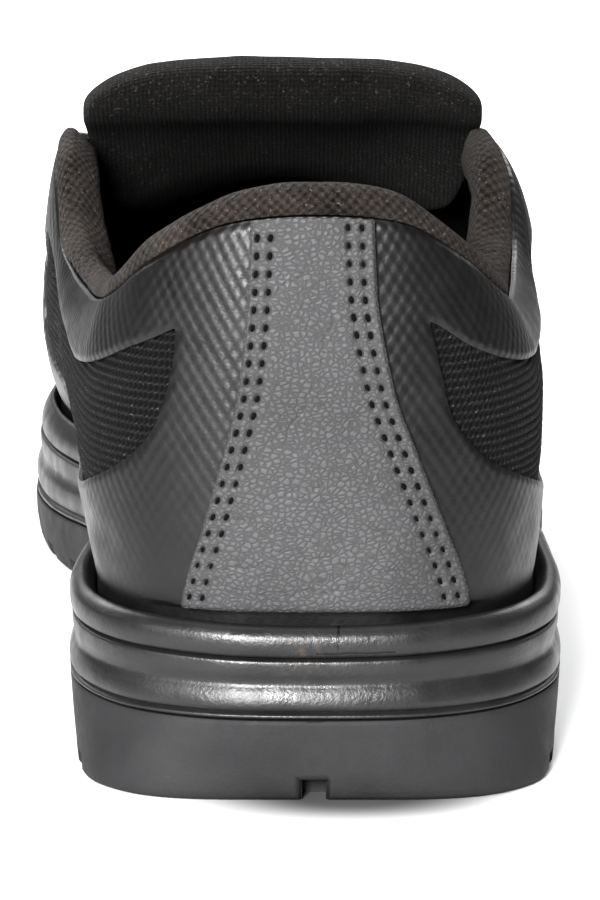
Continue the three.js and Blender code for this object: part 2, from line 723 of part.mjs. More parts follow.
// The tongue, cut back where it lies under the vamp and beside the collar
function buildTongue() {
  const acrossSteps = 10;
  const alongSteps = 2 * (TONGUE.length - 1);
  const sides = Array.from({ length: acrossSteps + 1 }, (_, i) => 2 * i / acrossSteps - 1);
  const sections = Array.from({ length: alongSteps + 1 }, (_, i) => {
    const place = i / 2;
    const padding = smoothColumn(TONGUE, 'padding', place) * TONGUE_PADDING;
    const lower = sides.map((side) => {
      const thickness = padding * (1 - 0.5 * side ** 8);
      return tonguePoint(place, side).addScaledVector(tongueNormal(place, side), -thickness);
    });
    return [...sides.map((side) => tonguePoint(place, side)), ...lower.reverse()];
  });
  const upperRoom = shell(-UPPER_WALL - GAP, TONGUE_PADDING, { lowest: GIRTH_LEVEL, reach: 3 * GAP });
  return sectionSolid(sections).subtract(upperRoom).subtract(buildCollar(UPPER_WALL / 2, GAP));
}

const shoe = new THREE.Group();
shoe.name = 'work_shoe';

function addPiece(name, manifold, color, roughness) {
  const material = new THREE.MeshStandardMaterial({ color, roughness, metalness: 0 });
  const mesh = new THREE.Mesh(toGeometry(manifold), material);
  mesh.name = name;
  mesh.position.y = -HEEL_CENTRE * LENGTH;
  shoe.add(mesh);
}

addPiece('outsole', buildOutsole(), 0x2b2b2d, 0.8);
addPiece('midsole', buildMidsole(), 0x303032, 0.55);
addPiece('insole', buildInsole(), 0x242425, 0.9);
addPiece('upper', buildUpper(), 0x1c1c1d, 0.6);
addPiece('heel_strip', buildHeelStrip(), 0x232324, 0.5);
addPiece('collar', buildCollar(), 0x1f1d1c, 0.95);
addPiece('tongue', buildTongue(), 0x1c1c1d, 0.9);

export default shoe;
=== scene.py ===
# %% [markdown]
# # A black work shoe, seen from behind
# This lesson dresses a imported CAD part: a low, padded work shoe for the right foot. The part gives
# the true shape of each piece at a coarse step. Here each piece is made again at a fine step, with the
# grain, stitches and creases that the real one has. Lengths are in millimetres until a mesh is made.

# %% Load the imported part
import bpy
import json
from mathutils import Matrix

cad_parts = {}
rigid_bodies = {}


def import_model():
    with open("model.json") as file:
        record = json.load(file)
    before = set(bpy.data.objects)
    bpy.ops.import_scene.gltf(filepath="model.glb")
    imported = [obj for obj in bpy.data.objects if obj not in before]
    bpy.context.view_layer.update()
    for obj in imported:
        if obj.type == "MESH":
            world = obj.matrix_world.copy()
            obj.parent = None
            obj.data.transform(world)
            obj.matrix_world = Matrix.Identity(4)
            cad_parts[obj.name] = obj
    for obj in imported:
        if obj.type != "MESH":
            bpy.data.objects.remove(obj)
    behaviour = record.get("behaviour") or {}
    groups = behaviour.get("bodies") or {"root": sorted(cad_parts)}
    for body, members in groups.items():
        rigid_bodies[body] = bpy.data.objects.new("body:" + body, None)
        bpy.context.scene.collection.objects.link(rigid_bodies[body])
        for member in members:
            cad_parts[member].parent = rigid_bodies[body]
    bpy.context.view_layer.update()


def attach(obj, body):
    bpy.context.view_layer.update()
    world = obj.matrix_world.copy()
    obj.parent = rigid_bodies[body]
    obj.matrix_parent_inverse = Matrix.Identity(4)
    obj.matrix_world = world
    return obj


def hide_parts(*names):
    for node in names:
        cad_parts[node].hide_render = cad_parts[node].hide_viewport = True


for obj in list(bpy.data.objects):
    bpy.data.objects.remove(obj)
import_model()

import json
import math
from functools import partial
import numpy as np
from mathutils import Vector
from mathutils.kdtree import KDTree

# %% [markdown]
# The sizes are those of the CAD part, a shoe of about EU 41 to 42. The sole, the upper and all that is
# laid on it are worked out from them, so a new size carries through the whole shoe.

# %% Sizes of the shoe
LENGTH, HEEL_WIDTH, BALL_WIDTH = 290.0, 84.0, 104.0
COLLAR_HEIGHT, INSTEP_HEIGHT, TOE_HEIGHT = 102.0, 87.0, 60.0
HEEL_CENTRE, SPRING_START, TOE_SPRING = 0.131, 0.78, 8.0
UPPER_WALL, WINDOW_DEPTH, GAP = 2.2, 1.0, 0.3
RIM_HEIGHT, RIM_AT_HEEL, RIM_AT_BALL, GUTTER_DEPTH = 30.3, 4.4, 5.0, 1.6
FEATHER_INSET, FEATHER_ANGLE, FULLNESS = 4.5, math.radians(52), 0.9
GIRTH_LEVEL, TOP_LEVEL, THROAT_ROW = 5, 12, 11
MM = 0.001

# %% [markdown]
# A shoe is built over a last. The last is written as a short table, one row for each station from the
# heel to the toe, as a last maker's gauge book has it. A smooth curve through the rows gives every
# place between them, so the same table serves a coarse mesh and a fine one.

# %% The last
LAST_NAMES = ("at", "medial", "lateral", "swell_medial", "swell_lateral", "girth",
              "top_at", "top_medial", "top_lateral", "top", "turn", "cuff")
LAST_ROWS = [
    (0.000, 0.000, 0.000, 0.012, 0.012, 0.510, 0.019, 0.000, 0.000, 1.000, 50, 0.056),
    (0.006, 0.220, 0.220, 0.013, 0.013, 0.510, 0.026, 0.167, 0.167, 0.982, 50, 0.055),
    (0.030, 0.375, 0.375, 0.015, 0.014, 0.510, 0.050, 0.302, 0.270, 0.916, 50, 0.053),
    (0.075, 0.470, 0.470, 0.023, 0.017, 0.540, 0.093, 0.382, 0.333, 0.836, 50, 0.047),
    (0.134, 0.500, 0.500, 0.035, 0.018, 0.580, 0.148, 0.402, 0.322, 0.797, 50, 0.043),
    (0.200, 0.490, 0.496, 0.066, 0.028, 0.615, 0.203, 0.424, 0.325, 0.778, 50, 0.037),
    (0.255, 0.467, 0.488, 0.107, 0.038, 0.635, 0.252, 0.465, 0.335, 0.785, 50, 0.037),
    (0.300, 0.445, 0.480, 0.139, 0.045, 0.640, 0.290, 0.515, 0.352, 0.825, 54, 0.045),
    (0.334, 0.430, 0.471, 0.163, 0.052, 0.640, 0.324, 0.535, 0.368, 0.937, 60, 0.049),
    (0.386, 0.409, 0.450, 0.182, 0.059, 0.640, 0.369, 0.500, 0.320, 1.000, 70, 0.025),
    (0.452, 0.419, 0.435, 0.160, 0.048, 0.643, 0.452, 0.280, 0.157, 1.000, 82, 0.000),
    (0.517, 0.451, 0.434, 0.112, 0.029, 0.621, 0.503, 0.053, -0.053, 1.000, 90, 0.000),
    (0.600, 0.515, 0.445, 0.041, 0.012, 0.585, 0.593, 0.058, -0.058, 0.926, 90, 0.000),
    (0.690, 0.550, 0.440, 0.023, 0.013, 0.609, 0.672, 0.067, -0.067, 0.912, 90, 0.000),
    (0.779, 0.530, 0.402, 0.023, 0.015, 0.678, 0.745, 0.077, -0.077, 0.940, 90, 0.000),
    (0.859, 0.475, 0.342, 0.025, 0.017, 0.723, 0.807, 0.084, -0.084, 0.982, 90, 0.000),
    (0.930, 0.395, 0.245, 0.027, 0.021, 0.742, 0.852, 0.087, -0.087, 0.999, 90, 0.000),
    (0.979, 0.276, 0.098, 0.028, 0.025, 0.758, 0.876, 0.089, -0.089, 1.004, 90, 0.000),
    (1.000, 0.090, -0.090, 0.029, 0.029, 0.767, 0.886, 0.090, -0.090, 1.008, 90, 0.000),
]


def columns(names, rows):
    """Turns rows of numbers into one array for each named column."""
    return dict(zip(names, np.array(rows, float).T))


LAST = columns(LAST_NAMES, LAST_ROWS)
ROWS = len(LAST_ROWS)
LOOP = 2 * (ROWS - 1)
THROAT_AT = LAST["at"][THROAT_ROW]
print("the last has", ROWS, "rows")

# %% [markdown]
# Sole heights and the collar's and tongue's sections are tables too. Heights are shares of the rim's
# height, of the collar's or of the tongue's, so a change of one size carries through.

# %% Tables of the sole, collar and tongue
SOLE = columns(("at", "block", "cup", "rim"), [
    (0.00, 0.455, 0.680, 1.000), (0.25, 0.465, 0.680, 1.000), (0.36, 0.530, 0.640, 1.000),
    (0.46, 0.450, 0.550, 0.990), (0.55, 0.373, 0.470, 0.975), (0.66, 0.330, 0.425, 0.965),
    (0.80, 0.337, 0.430, 0.965), (1.00, 0.337, 0.430, 0.930)])
BLOCK_WALL = columns(("rise", "heel", "corner", "ball"), [
    (0.00, 2.2, -1.4, 2.4), (0.03, 1.45, -2.3, 1.8), (0.07, 1.1, -2.6, 1.4),
    (0.22, 0.7, -2.5, 0.7), (0.60, 0.3, -1.4, 0.1), (0.97, 0.0, 0.0, 0.0), (1.00, 0.25, 0.25, 0.2)])
CUP_WALL = columns(("rise", "heel", "ball"), [
    (0.000, 0.45, 0.6), (0.012, 0.05, 0.3), (0.035, -0.05, 0.2), (0.055, 0.20, 0.4), (0.070, 0.75, 0.9),
    (0.090, 0.25, 0.7), (0.130, -0.10, 0.4), (0.210, 0.02, 0.2), (0.300, 0.45, 0.4), (0.370, 0.92, 0.9),
    (0.430, 0.80, 1.2), (0.480, 0.55, 1.1), (0.540, 0.40, 1.0), (0.600, 0.40, 1.0), (0.635, 0.60, 1.2),
    (0.655, 1.60, 2.2), (0.672, 0.75, 1.5), (0.700, 0.30, 1.3), (0.760, 0.02, 1.3), (0.830, 0.00, 1.6),
    (0.900, 0.25, 2.2), (0.950, 0.75, 2.8), (0.985, 1.35, 3.2), (1.000, 2.10, 3.7)])
COLLAR = columns(("band", "depth", "inset"), [
    (1.0, 0.00, 0.6), (0.95, 0.00, 0.1), (0.6, 0.00, -0.35), (0.2, 0.00, 0.5), (0.0, 0.00, 2.4),
    (0.0, 0.02, 5.0), (0.0, 0.10, 7.8), (0.0, 0.30, 9.2), (0.0, 0.60, 8.0), (0.0, 0.85, 5.2),
    (0.0, 1.00, 2.9)])
TONGUE = columns(("at", "width", "top", "sag", "power", "padding"), [
    (0.327, 0.94, 0.978, 0.13, 4.6, 0.45), (0.334, 0.99, 1.000, 0.14, 4.4, 0.85),
    (0.360, 1.00, 0.984, 0.17, 3.4, 1.00), (0.400, 0.95, 0.941, 0.20, 2.8, 1.00),
    (0.450, 0.82, 0.876, 0.19, 2.4, 0.85), (0.500, 0.68, 0.806, 0.17, 2.0, 0.60),
    (0.545, 0.56, 0.736, 0.14, 2.0, 0.35), (0.575, 0.48, 0.686, 0.11, 2.0, 0.25)])
TONGUE_HEIGHT, TONGUE_WIDTH, TONGUE_PADDING = 111.0, 72.0, 8.0

# %% [markdown]
# Two kinds of curve draw the shoe. One runs through the rows of a table. The other runs through points
# in space and is centripetal, which keeps it from looping where points lie close together, as they do
# round the heel.

# %% Curves
def smoothstep(x, low, high):
    t = np.clip((np.asarray(x, float) - low) / (high - low), 0, 1)
    return t * t * (3 - 2 * t)


def mix(a, b, t):
    return a + (b - a) * t


def smooth_column(values, place):
    """Value of a table's column at a fractional row."""
    end = len(values) - 1
    place = np.asarray(place, float)
    i = np.clip(np.floor(place).astype(int), 0, end - 1)
    t = place - i
    v0, v1 = values[np.clip(i - 1, 0, end)], values[i]
    v2, v3 = values[i + 1], values[np.clip(i + 2, 0, end)]
    slope_in, slope_out, rise = (v2 - v0) / 2, (v3 - v1) / 2, v2 - v1
    return v1 + slope_in * t + (3 * rise - 2 * slope_in - slope_out) * t**2 \
        + (slope_in + slope_out - 2 * rise) * t**3


def curve_point(points, place, closed):
    """Point of a centripetal curve through points; place counts them."""
    points = np.asarray(points, float)
    count = len(points)
    place = np.asarray(place, float)
    if closed:
        i = np.floor(place).astype(int)
        t = place - i
        corners = [points[(i + k) % count] for k in (-1, 0, 1, 2)]
    else:
        i = np.clip(np.floor(place).astype(int), 0, count - 2)
        t = place - i
        longer = np.vstack([2 * points[0] - points[1], points, 2 * points[-1] - points[-2]])
        corners = [longer[i + k + 1] for k in (-1, 0, 1, 2)]
    a, b, c, d = corners
    gap = [np.maximum(np.linalg.norm(q - p, axis=-1), 1e-8)[..., None] ** 0.5
           for p, q in ((a, b), (b, c), (c, d))]
    tangent_in = ((b - a) / gap[0] - (c - a) / (gap[0] + gap[1]) + (c - b) / gap[1]) * gap[1]
    tangent_out = ((c - b) / gap[1] - (d - b) / (gap[1] + gap[2]) + (d - c) / gap[2]) * gap[1]
    t = t[..., None]
    return b + tangent_in * t + (3 * (c - b) - 2 * tangent_in - tangent_out) * t**2 \
        + (2 * (b - c) + tangent_in + tangent_out) * t**3


# %% [markdown]
# The sole's outline, the girth of the upper, the edge of its opening and the ridge of its vamp are four
# such curves. A place around the shoe is a number from 0 at the heel, along the inner side to 18 at the
# toe, and back along the outer side to 36.

# %% The four guide curves
def width_at(at):
    return mix(HEEL_WIDTH, BALL_WIDTH, smoothstep(at, 0.3, 0.6))


def height_at(at):
    behind = mix(COLLAR_HEIGHT, INSTEP_HEIGHT, smoothstep(at, 0.3, THROAT_AT))
    ahead = mix(INSTEP_HEIGHT, TOE_HEIGHT, smoothstep(at, THROAT_AT, 0.9))
    return np.where(np.asarray(at) < THROAT_AT, behind, ahead)


def spring_at(at):
    return TOE_SPRING * np.maximum(0, (np.asarray(at) - SPRING_START) / (1 - SPRING_START)) ** 2


def fore_share(at):
    return smoothstep(at, 0.35, 0.6)


def sole_height(name, at):
    return np.interp(at, SOLE["at"], SOLE[name]) * RIM_HEIGHT + spring_at(at)


def rim_thickness(at):
    return mix(RIM_AT_HEEL, RIM_AT_BALL, fore_share(at))


def row_of(loop):
    loop = np.mod(loop, LOOP)
    return np.where(loop <= ROWS - 1, loop, LOOP - loop)


def side_of(loop):
    return np.where(np.mod(loop, LOOP) <= ROWS - 1, -1.0, 1.0)


stations = np.arange(LOOP)
station_row, station_side = row_of(stations), side_of(stations)
sole_half = np.where(station_side < 0, LAST["medial"][station_row], LAST["lateral"][station_row])
station_at = LAST["at"][station_row]
SOLE_POINTS = np.column_stack([station_side * sole_half * width_at(station_at),
                               station_at * LENGTH, np.zeros(LOOP)])


def outline_point(loop, inset):
    """Point of the sole's outline, moved in across its edge."""
    step = 1e-3
    tangent = curve_point(SOLE_POINTS, loop + step, True) - curve_point(SOLE_POINTS, loop - step, True)
    inward = np.stack([tangent[..., 1], -tangent[..., 0], np.zeros_like(tangent[..., 0])], -1)
    inward /= np.linalg.norm(inward, axis=-1, keepdims=True)
    return curve_point(SOLE_POINTS, loop, True) + inward * np.asarray(inset)[..., None]


swell = np.where(station_side < 0, LAST["swell_medial"][station_row], LAST["swell_lateral"][station_row])
GIRTH_POINTS = outline_point(stations.astype(float), FEATHER_INSET - swell * BALL_WIDTH)
GIRTH_POINTS[:, 2] = LAST["girth"][station_row] * height_at(station_at)
top_at = LAST["top_at"][station_row]
top_half = np.where(station_side < 0, LAST["top_medial"][station_row], LAST["top_lateral"][station_row])
TOP_POINTS = np.column_stack([station_side * top_half * width_at(top_at), top_at * LENGTH,
                              LAST["top"][station_row] * height_at(top_at)])
OPENING_POINTS = TOP_POINTS[(THROAT_ROW - np.arange(2 * THROAT_ROW)) % LOOP]
RIDGE_POINTS = TOP_POINTS[THROAT_ROW:ROWS]
THROAT_X = TOP_POINTS[THROAT_ROW][0]
OPENING_FRONT = LAST["top_at"][THROAT_ROW - 2] * LENGTH


# %% [markdown]
# Every part of the upper follows one wall. Its level counts from the floor of the cup up to the girth
# and over to the edge of the opening. Panels, lining and stitches are all offsets from it, as the
# layers of a real upper are.

# %% The wall of the upper
def wall_point(loop, level, reach=0.0, down=None):
    loop, level = np.broadcast_arrays(np.asarray(loop, float), np.asarray(level, float))
    row, side = row_of(loop), side_of(loop)
    at = smooth_column(LAST["at"], row)
    feather = outline_point(loop, rim_thickness(at) + GAP)
    feather[..., 2] = sole_height("rim", at) + GAP
    floor = sole_height("cup", at) + GAP
    girth = curve_point(GIRTH_POINTS, np.mod(loop, LOOP), True)
    on_ridge = row >= THROAT_ROW
    opening = curve_point(OPENING_POINTS, THROAT_ROW + side * row, True)
    over = curve_point(RIDGE_POINTS, np.clip(row - THROAT_ROW, 0, ROWS - 1 - THROAT_ROW), False)
    top = np.where(on_ridge[..., None], over, opening)
    if reach:
        middle = np.stack([np.full(row.shape, THROAT_X), np.full(row.shape, OPENING_FRONT), top[..., 2]], -1)
        away = middle - top
        away /= np.maximum(np.linalg.norm(away, axis=-1, keepdims=True), 1e-9)
        top = top + np.where((row <= THROAT_ROW)[..., None], away * reach, 0)
    turn = np.radians(np.minimum(90, smooth_column(LAST["turn"], row)))
    band = smooth_column(LAST["cuff"], row) * COLLAR_HEIGHT if down is None else np.asarray(down, float)
    share = 1 - np.clip(band / (top[..., 2] - girth[..., 2]), 0, 1)
    end = np.arcsin(np.clip(share ** (1 / FULLNESS) * np.sin(turn), -1, 1))
    angle = end * np.clip(level - GIRTH_LEVEL, 0, None) / (TOP_LEVEL - GIRTH_LEVEL)
    across = np.maximum(0, (np.cos(angle) - np.cos(turn)) / (1 - np.cos(turn))) ** FULLNESS
    upper = mix(top, girth, across[..., None])
    upper[..., 2] = mix(girth[..., 2], top[..., 2], (np.sin(angle) / np.sin(turn)) ** FULLNESS)
    lean = mix(FEATHER_ANGLE, math.pi / 2, np.clip((level - 1) / (GIRTH_LEVEL - 1), 0, 1))
    out = (np.sin(lean) - math.sin(FEATHER_ANGLE)) / (1 - math.sin(FEATHER_ANGLE))
    lower = mix(feather, girth, out[..., None])
    lower[..., 2] = mix(girth[..., 2], feather[..., 2], np.cos(lean) / math.cos(FEATHER_ANGLE))
    lower[..., 2] = np.where(level <= 1, mix(floor, feather[..., 2], level), lower[..., 2])
    return np.where((level <= GIRTH_LEVEL)[..., None], lower, upper)


def wall_normal(loop, level, **options):
    small = 0.01
    along = wall_point(loop + small, level, **options) - wall_point(loop - small, level, **options)
    above = wall_point(loop, np.minimum(level + small, TOP_LEVEL), **options)
    below = wall_point(loop, np.maximum(level - small, 0), **options)
    normal = np.cross(above - below, along)
    ridge_row = np.clip(row_of(loop) - THROAT_ROW, 0, ROWS - 1 - THROAT_ROW)
    ahead = curve_point(RIDGE_POINTS, np.minimum(ridge_row + small, ROWS - 1 - THROAT_ROW), False) \
        - curve_point(RIDGE_POINTS, np.maximum(ridge_row - small, 0), False)
    crest = np.cross([1.0, 0, 0], ahead)
    on_crest = (np.asarray(level) >= TOP_LEVEL - 1e-9) & (row_of(loop) >= THROAT_ROW)
    normal = np.where(on_crest[..., None], crest, normal)
    return normal / np.maximum(np.linalg.norm(normal, axis=-1, keepdims=True), 1e-12)


def offset_wall(loop, level, out, **options):
    loop, level = np.broadcast_arrays(np.asarray(loop, float), np.asarray(level, float))
    out = np.asarray(out)[..., None]
    return wall_point(loop, level, **options) + wall_normal(loop, level, **options) * out


print("heel back at mid height:", np.round(wall_point(0.0, 5.0), 2))

# %% [markdown]
# Meshes are made from arrays of points and faces. One function places the points in the part's frame,
# in metres with the origin under the heel, so every finished object sits at the origin unturned.

# %% From arrays to objects
def make_object(name, points, faces, uv=None, values=None, smooth=50):
    mesh = bpy.data.meshes.new(name)
    placed = (np.asarray(points) - [0, HEEL_CENTRE * LENGTH, 0]) * MM
    mesh.from_pydata(placed.tolist(), [], [list(map(int, f)) for f in faces])
    if uv is not None:
        layer = mesh.uv_layers.new(name="millimetres")
        corner = np.zeros(len(mesh.loops), int)
        mesh.loops.foreach_get("vertex_index", corner)
        place = np.asarray(uv)[corner]
        for polygon in mesh.polygons:
            span = place[polygon.loop_start:polygon.loop_start + polygon.loop_total]
            if span[:, 0].max() - span[:, 0].min() > 100:
                span[span[:, 0] < 0, 0] += 2 * np.abs(np.asarray(uv)[:, 0]).max()
        layer.data.foreach_set("uv", (place * MM).ravel())
    for key, value in (values or {}).items():
        mesh.attributes.new(key, "FLOAT", "POINT").data.foreach_set("value", np.asarray(value, float))
    mesh.validate()
    obj = bpy.data.objects.new(name, mesh)
    bpy.context.scene.collection.objects.link(obj)
    select_only(obj)
    bpy.ops.object.shade_smooth_by_angle(angle=math.radians(smooth))
    print(f"{name}: {len(mesh.vertices)} points, {len(mesh.polygons)} faces")
    return obj


def select_only(*objects):
    bpy.ops.object.select_all(action="DESELECT")
    for obj in objects:
        obj.select_set(True)
    bpy.context.view_layer.objects.active = objects[0]


def grid_faces(across, along, wrap=False):
    """Faces of a grid of points, along running fastest. With wrap the last column meets the first."""
    i, j = np.meshgrid(np.arange(across if wrap else across - 1), np.arange(along - 1), indexing="ij")
    here, beyond = i * along + j, ((i + 1) % across) * along + j
    return np.stack([here, here + 1, beyond + 1, beyond], -1).reshape(-1, 4)


def even_loops(spacing_near, spacing_far, level=5.0, last_row=18.0):
    """Places around the shoe an even step apart, the same on both sides and finer round the heel."""
    fine = np.linspace(0, last_row, 2001)
    steps = [np.linalg.norm(np.diff(wall_point(way * fine, level), axis=0), axis=1) for way in (1, -1)]
    wanted = mix(spacing_near, spacing_far, smoothstep(0.5 * (fine[1:] + fine[:-1]), 6.5, 11))
    cost = np.concatenate([[0], np.cumsum(0.5 * (steps[0] + steps[1]) / wanted)])
    half = np.interp(np.linspace(0, cost[-1], int(round(cost[-1])) + 1), cost, fine)
    return np.concatenate([-half[:0:-1], half])


def ripple(points, size, seed):
    """Slow, seeded unevenness between -1 and 1, from a few waves of the given size in mm."""
    random = np.random.default_rng(seed)
    total = np.zeros(len(points))
    for _ in range(7):
        way = random.normal(size=3)
        way *= 2 * math.pi / (size * random.uniform(0.7, 1.6) * np.linalg.norm(way))
        total += np.sin(points @ way + random.uniform(0, 6.28))
    return total / 4


def arc_lengths(points):
    return np.concatenate([[0], np.cumsum(np.linalg.norm(np.diff(points, axis=0), axis=1))])


# %% [markdown]
# ## Materials
# A node material is grown from the surface's own millimetres: Object coordinates or the piece's own UV
# map, both in metres. One small function adds a node with its settings and links.

# %% Helpers for materials
def from_hex(code):
    """An sRGB hex colour as linear RGBA."""
    parts = [int(code[i:i + 2], 16) / 255 for i in (1, 3, 5)]
    return [p / 12.92 if p <= 0.04045 else ((p + 0.055) / 1.055) ** 2.4 for p in parts] + [1.0]


def add_node(tree, kind, *values, give=0, named=None, **settings):
    """Adds a node with its settings, fills or links its inputs, and hands back one of its outputs."""
    node = tree.nodes.new("ShaderNode" + kind)
    for key, value in settings.items():
        setattr(node, key, value)
    for key, value in [*enumerate(values), *(named or {}).items()]:
        if isinstance(value, bpy.types.NodeSocket):
            tree.links.new(value, node.inputs[key])
        elif value is not None:
            node.inputs[key].default_value = value
    return node.outputs[give]


def new_material(name, roughness, specular=0.5, **sockets):
    """A material, a short call that adds nodes to it, and one that links an output to its shader."""
    material = bpy.data.materials.new(name)
    material.use_nodes = True
    tree = material.node_tree
    shader = tree.nodes["Principled BSDF"]
    for key, value in dict(sockets, Roughness=roughness).items():
        shader.inputs[key].default_value = value
    shader.inputs["Specular IOR Level"].default_value = specular

    def feed(key, output):
        tree.links.new(output, shader.inputs[key])

    return material, partial(add_node, tree), feed


def per(millimetres):
    """Scale of a texture whose pattern repeats in that many millimetres."""
    return 1.0 / (millimetres * MM)


# %% [markdown]
# ** Sole.** The cup and its tread block are moulded in one black foam and rubber. The mould leaves the
# block an even, matt skin and the bands of the cup a slightly polished one, with fine pits and pale
# rubs of dust that run along the sole.

# %% Moulded sole materials
def moulded_material(name, low, high, roughness, specular, pit_depth):
    material, node, feed = new_material(name, roughness, specular)
    place = node("TexCoord", give="Object")
    cloud = node("TexNoise", place, None, per(24), 5.0, 0.62)
    waves = node("TexNoise", place, None, per(5), 2.0, 0.5)
    pits = node("TexNoise", place, None, per(0.7), 3.0, 0.65)
    # scuffs: short pale rubs that run along the sole
    along = node("VectorMath", place, (0.35, 0.35, 1.6), operation="MULTIPLY")
    rubs = node("MapRange", node("TexNoise", along, None, per(2.6), 6.0, 0.72), 0.64, 0.78, 0.0, 0.22)
    share = node("MapRange", cloud, 0.32, 0.72, 0.0, 1.0)
    colour = node("Mix", share, named={6: from_hex(low), 7: from_hex(high)}, give=2, data_type="RGBA")
    colour = node("Mix", rubs, named={6: colour, 7: from_hex("#5c5a57")}, give=2, data_type="RGBA")
    feed("Base Color", colour)
    feed("Roughness", node("MapRange", waves, 0.3, 0.7, roughness - 0.05, roughness + 0.09))
    height = node("Math", pits, node("Math", waves, 1.6, operation="MULTIPLY"), operation="ADD")
    feed("Normal", node("Bump", 0.5, pit_depth * MM, named={"Height": height}))
    return material, node, feed, place, colour


matt_block = moulded_material("matt_moulded_rubber", "#29292a", "#353536", 0.60, 0.25, 0.14)[0]

# %% [markdown]
# **Marks of the mould.** The two halves of the cup's mould left a short upright flash line in the lip
# and a hair line beside the groove. Both are too thin for the mesh, so they are drawn dark, by distance
# from their place behind the heel, with a little brown dust where they meet.

# %% Marks of the mould
FLASH_X, FLASH_LOW, HAIR_Z, HAIR_LEFT, HAIR_RIGHT = 3.7, 26.0, 25.3, 0.0, 13.0
foam_cup, node, feed, place, foam_colour = moulded_material("satin_moulded_foam", "#1b1b1c", "#2c2c2d",
                                                            0.36, 0.5, 0.16)
axes = [node("SeparateXYZ", place, give=axis) for axis in "XYZ"]
sway = node("TexNoise", place, None, per(5), 2.0, 0.5)
behind = node("Math", axes[1], -0.03, operation="LESS_THAN")
flash = node("Math", axes[0], node("Math", sway, 0.0012, (FLASH_X - 0.6) * MM, operation="MULTIPLY_ADD"),
             0.00022, operation="COMPARE")
flash = node("Math", flash, node("Math", axes[2], FLASH_LOW * MM, operation="GREATER_THAN"),
             operation="MULTIPLY")
hair = node("Math", axes[2], node("Math", sway, 0.0008, (HAIR_Z - 0.4) * MM, operation="MULTIPLY_ADD"),
            0.00016, operation="COMPARE")
span = node("Math", axes[0], (HAIR_LEFT + HAIR_RIGHT) / 2 * MM, (HAIR_RIGHT - HAIR_LEFT) / 2 * MM,
            operation="COMPARE")
hair = node("Math", hair, span, operation="MULTIPLY")
marks = node("Math", node("Math", flash, hair, operation="MAXIMUM"), behind, operation="MULTIPLY")
# the middle of the dust and how far it reaches, in metres
DUST_MIDDLE, DUST_REACH = (-0.002, -0.0378, 0.0245), 0.006
from_dust = node("VectorMath", place, DUST_MIDDLE, give="Value", operation="DISTANCE")
dust = node("Math", node("MapRange", from_dust, DUST_REACH, 0.0, 0.0, 0.5),
            node("MapRange", node("TexNoise", place, None, per(1.4), 4.0, 0.7), 0.5, 0.62, 0.0, 1.0),
            operation="MULTIPLY")
foam_colour = node("Mix", marks, named={6: foam_colour, 7: from_hex("#050505")}, give=2, data_type="RGBA")
feed("Base Color", node("Mix", dust, named={6: foam_colour, 7: from_hex("#57483a")}, give=2,
                        data_type="RGBA"))
print("sole materials:", matt_block.name, foam_cup.name)

# %% [markdown]
# The outsole is a lofted block with cuts: cross grooves that part the lugs, the raised waist, the toe
# spring and a notch at the back. The block is a loft, because its outline is the shoe's own. The cuts
# are cubes shaped in edit mode and taken away with the Boolean modifier.

# %% Loft helper for the sole
sole_loops = even_loops(0.9, 2.6, level=2.0)[:-1]
sole_at = smooth_column(LAST["at"], row_of(sole_loops))
sole_rows = row_of(sole_loops)


def corner_share(row):
    return smoothstep(row, 0.2, 1.9) * (1 - smoothstep(row, 2.2, 3.6))


def ring_solid(name, rings, smooth=50):
    """Closed solid through rings that run around the shoe, from the lowest up. Its UV map is the plan."""
    count = len(rings[0])
    points = np.stack(rings, 1).reshape(-1, 3)
    plan = points[:, :2]
    faces = [list(face[::-1]) for face in grid_faces(count, len(rings), wrap=True)]
    levels = len(rings)
    for ring, turned in ((0, False), (levels - 1, True)):
        for i in range(count // 2):
            rung = [i, i + 1, count - i - 1, (count - i) % count]
            rung = [v for n, v in enumerate(rung) if v != rung[n - 1]]
            face = [v * levels + ring for v in rung]
            if len(set(face)) > 2:
                faces.append(face if turned else face[::-1])
    obj = make_object(name, points, faces, plan, smooth=smooth)
    select_only(obj)
    bpy.ops.object.mode_set(mode="EDIT")
    bpy.ops.mesh.select_all(action="SELECT")
    bpy.ops.mesh.remove_doubles(threshold=1e-6)
    bpy.ops.mesh.normals_make_consistent(inside=False)
    bpy.ops.object.mode_set(mode="OBJECT")
    return obj


def sole_ring(inset, height):
    ring = outline_point(sole_loops, inset)
    ring[:, 2] = height
    return ring


# The loops start at the toe, so the heel lies half way round and the rungs cross the shoe.
block_top = sole_height("block", sole_at)
rings = []
for rise in np.concatenate([[0, 0.015, 0.03, 0.07], np.linspace(0.14, 0.94, 9), [0.975, 1.0]]):
    heel, corner, ball = (np.interp(rise, BLOCK_WALL["rise"], BLOCK_WALL[name])
                          for name in ("heel", "corner", "ball"))
    inset = mix(mix(heel, ball, fore_share(sole_at)), corner, corner_share(sole_rows))
    rings.append(sole_ring(inset, rise * block_top))
outsole = ring_solid("outsole_block", rings)

# %% [markdown]
# The tread is cut as a mould would leave it. The notch behind the heel is a short funnel with a tunnel
# behind it. Wedges part the lugs, a long prism raises the waist, and another lifts the toe.

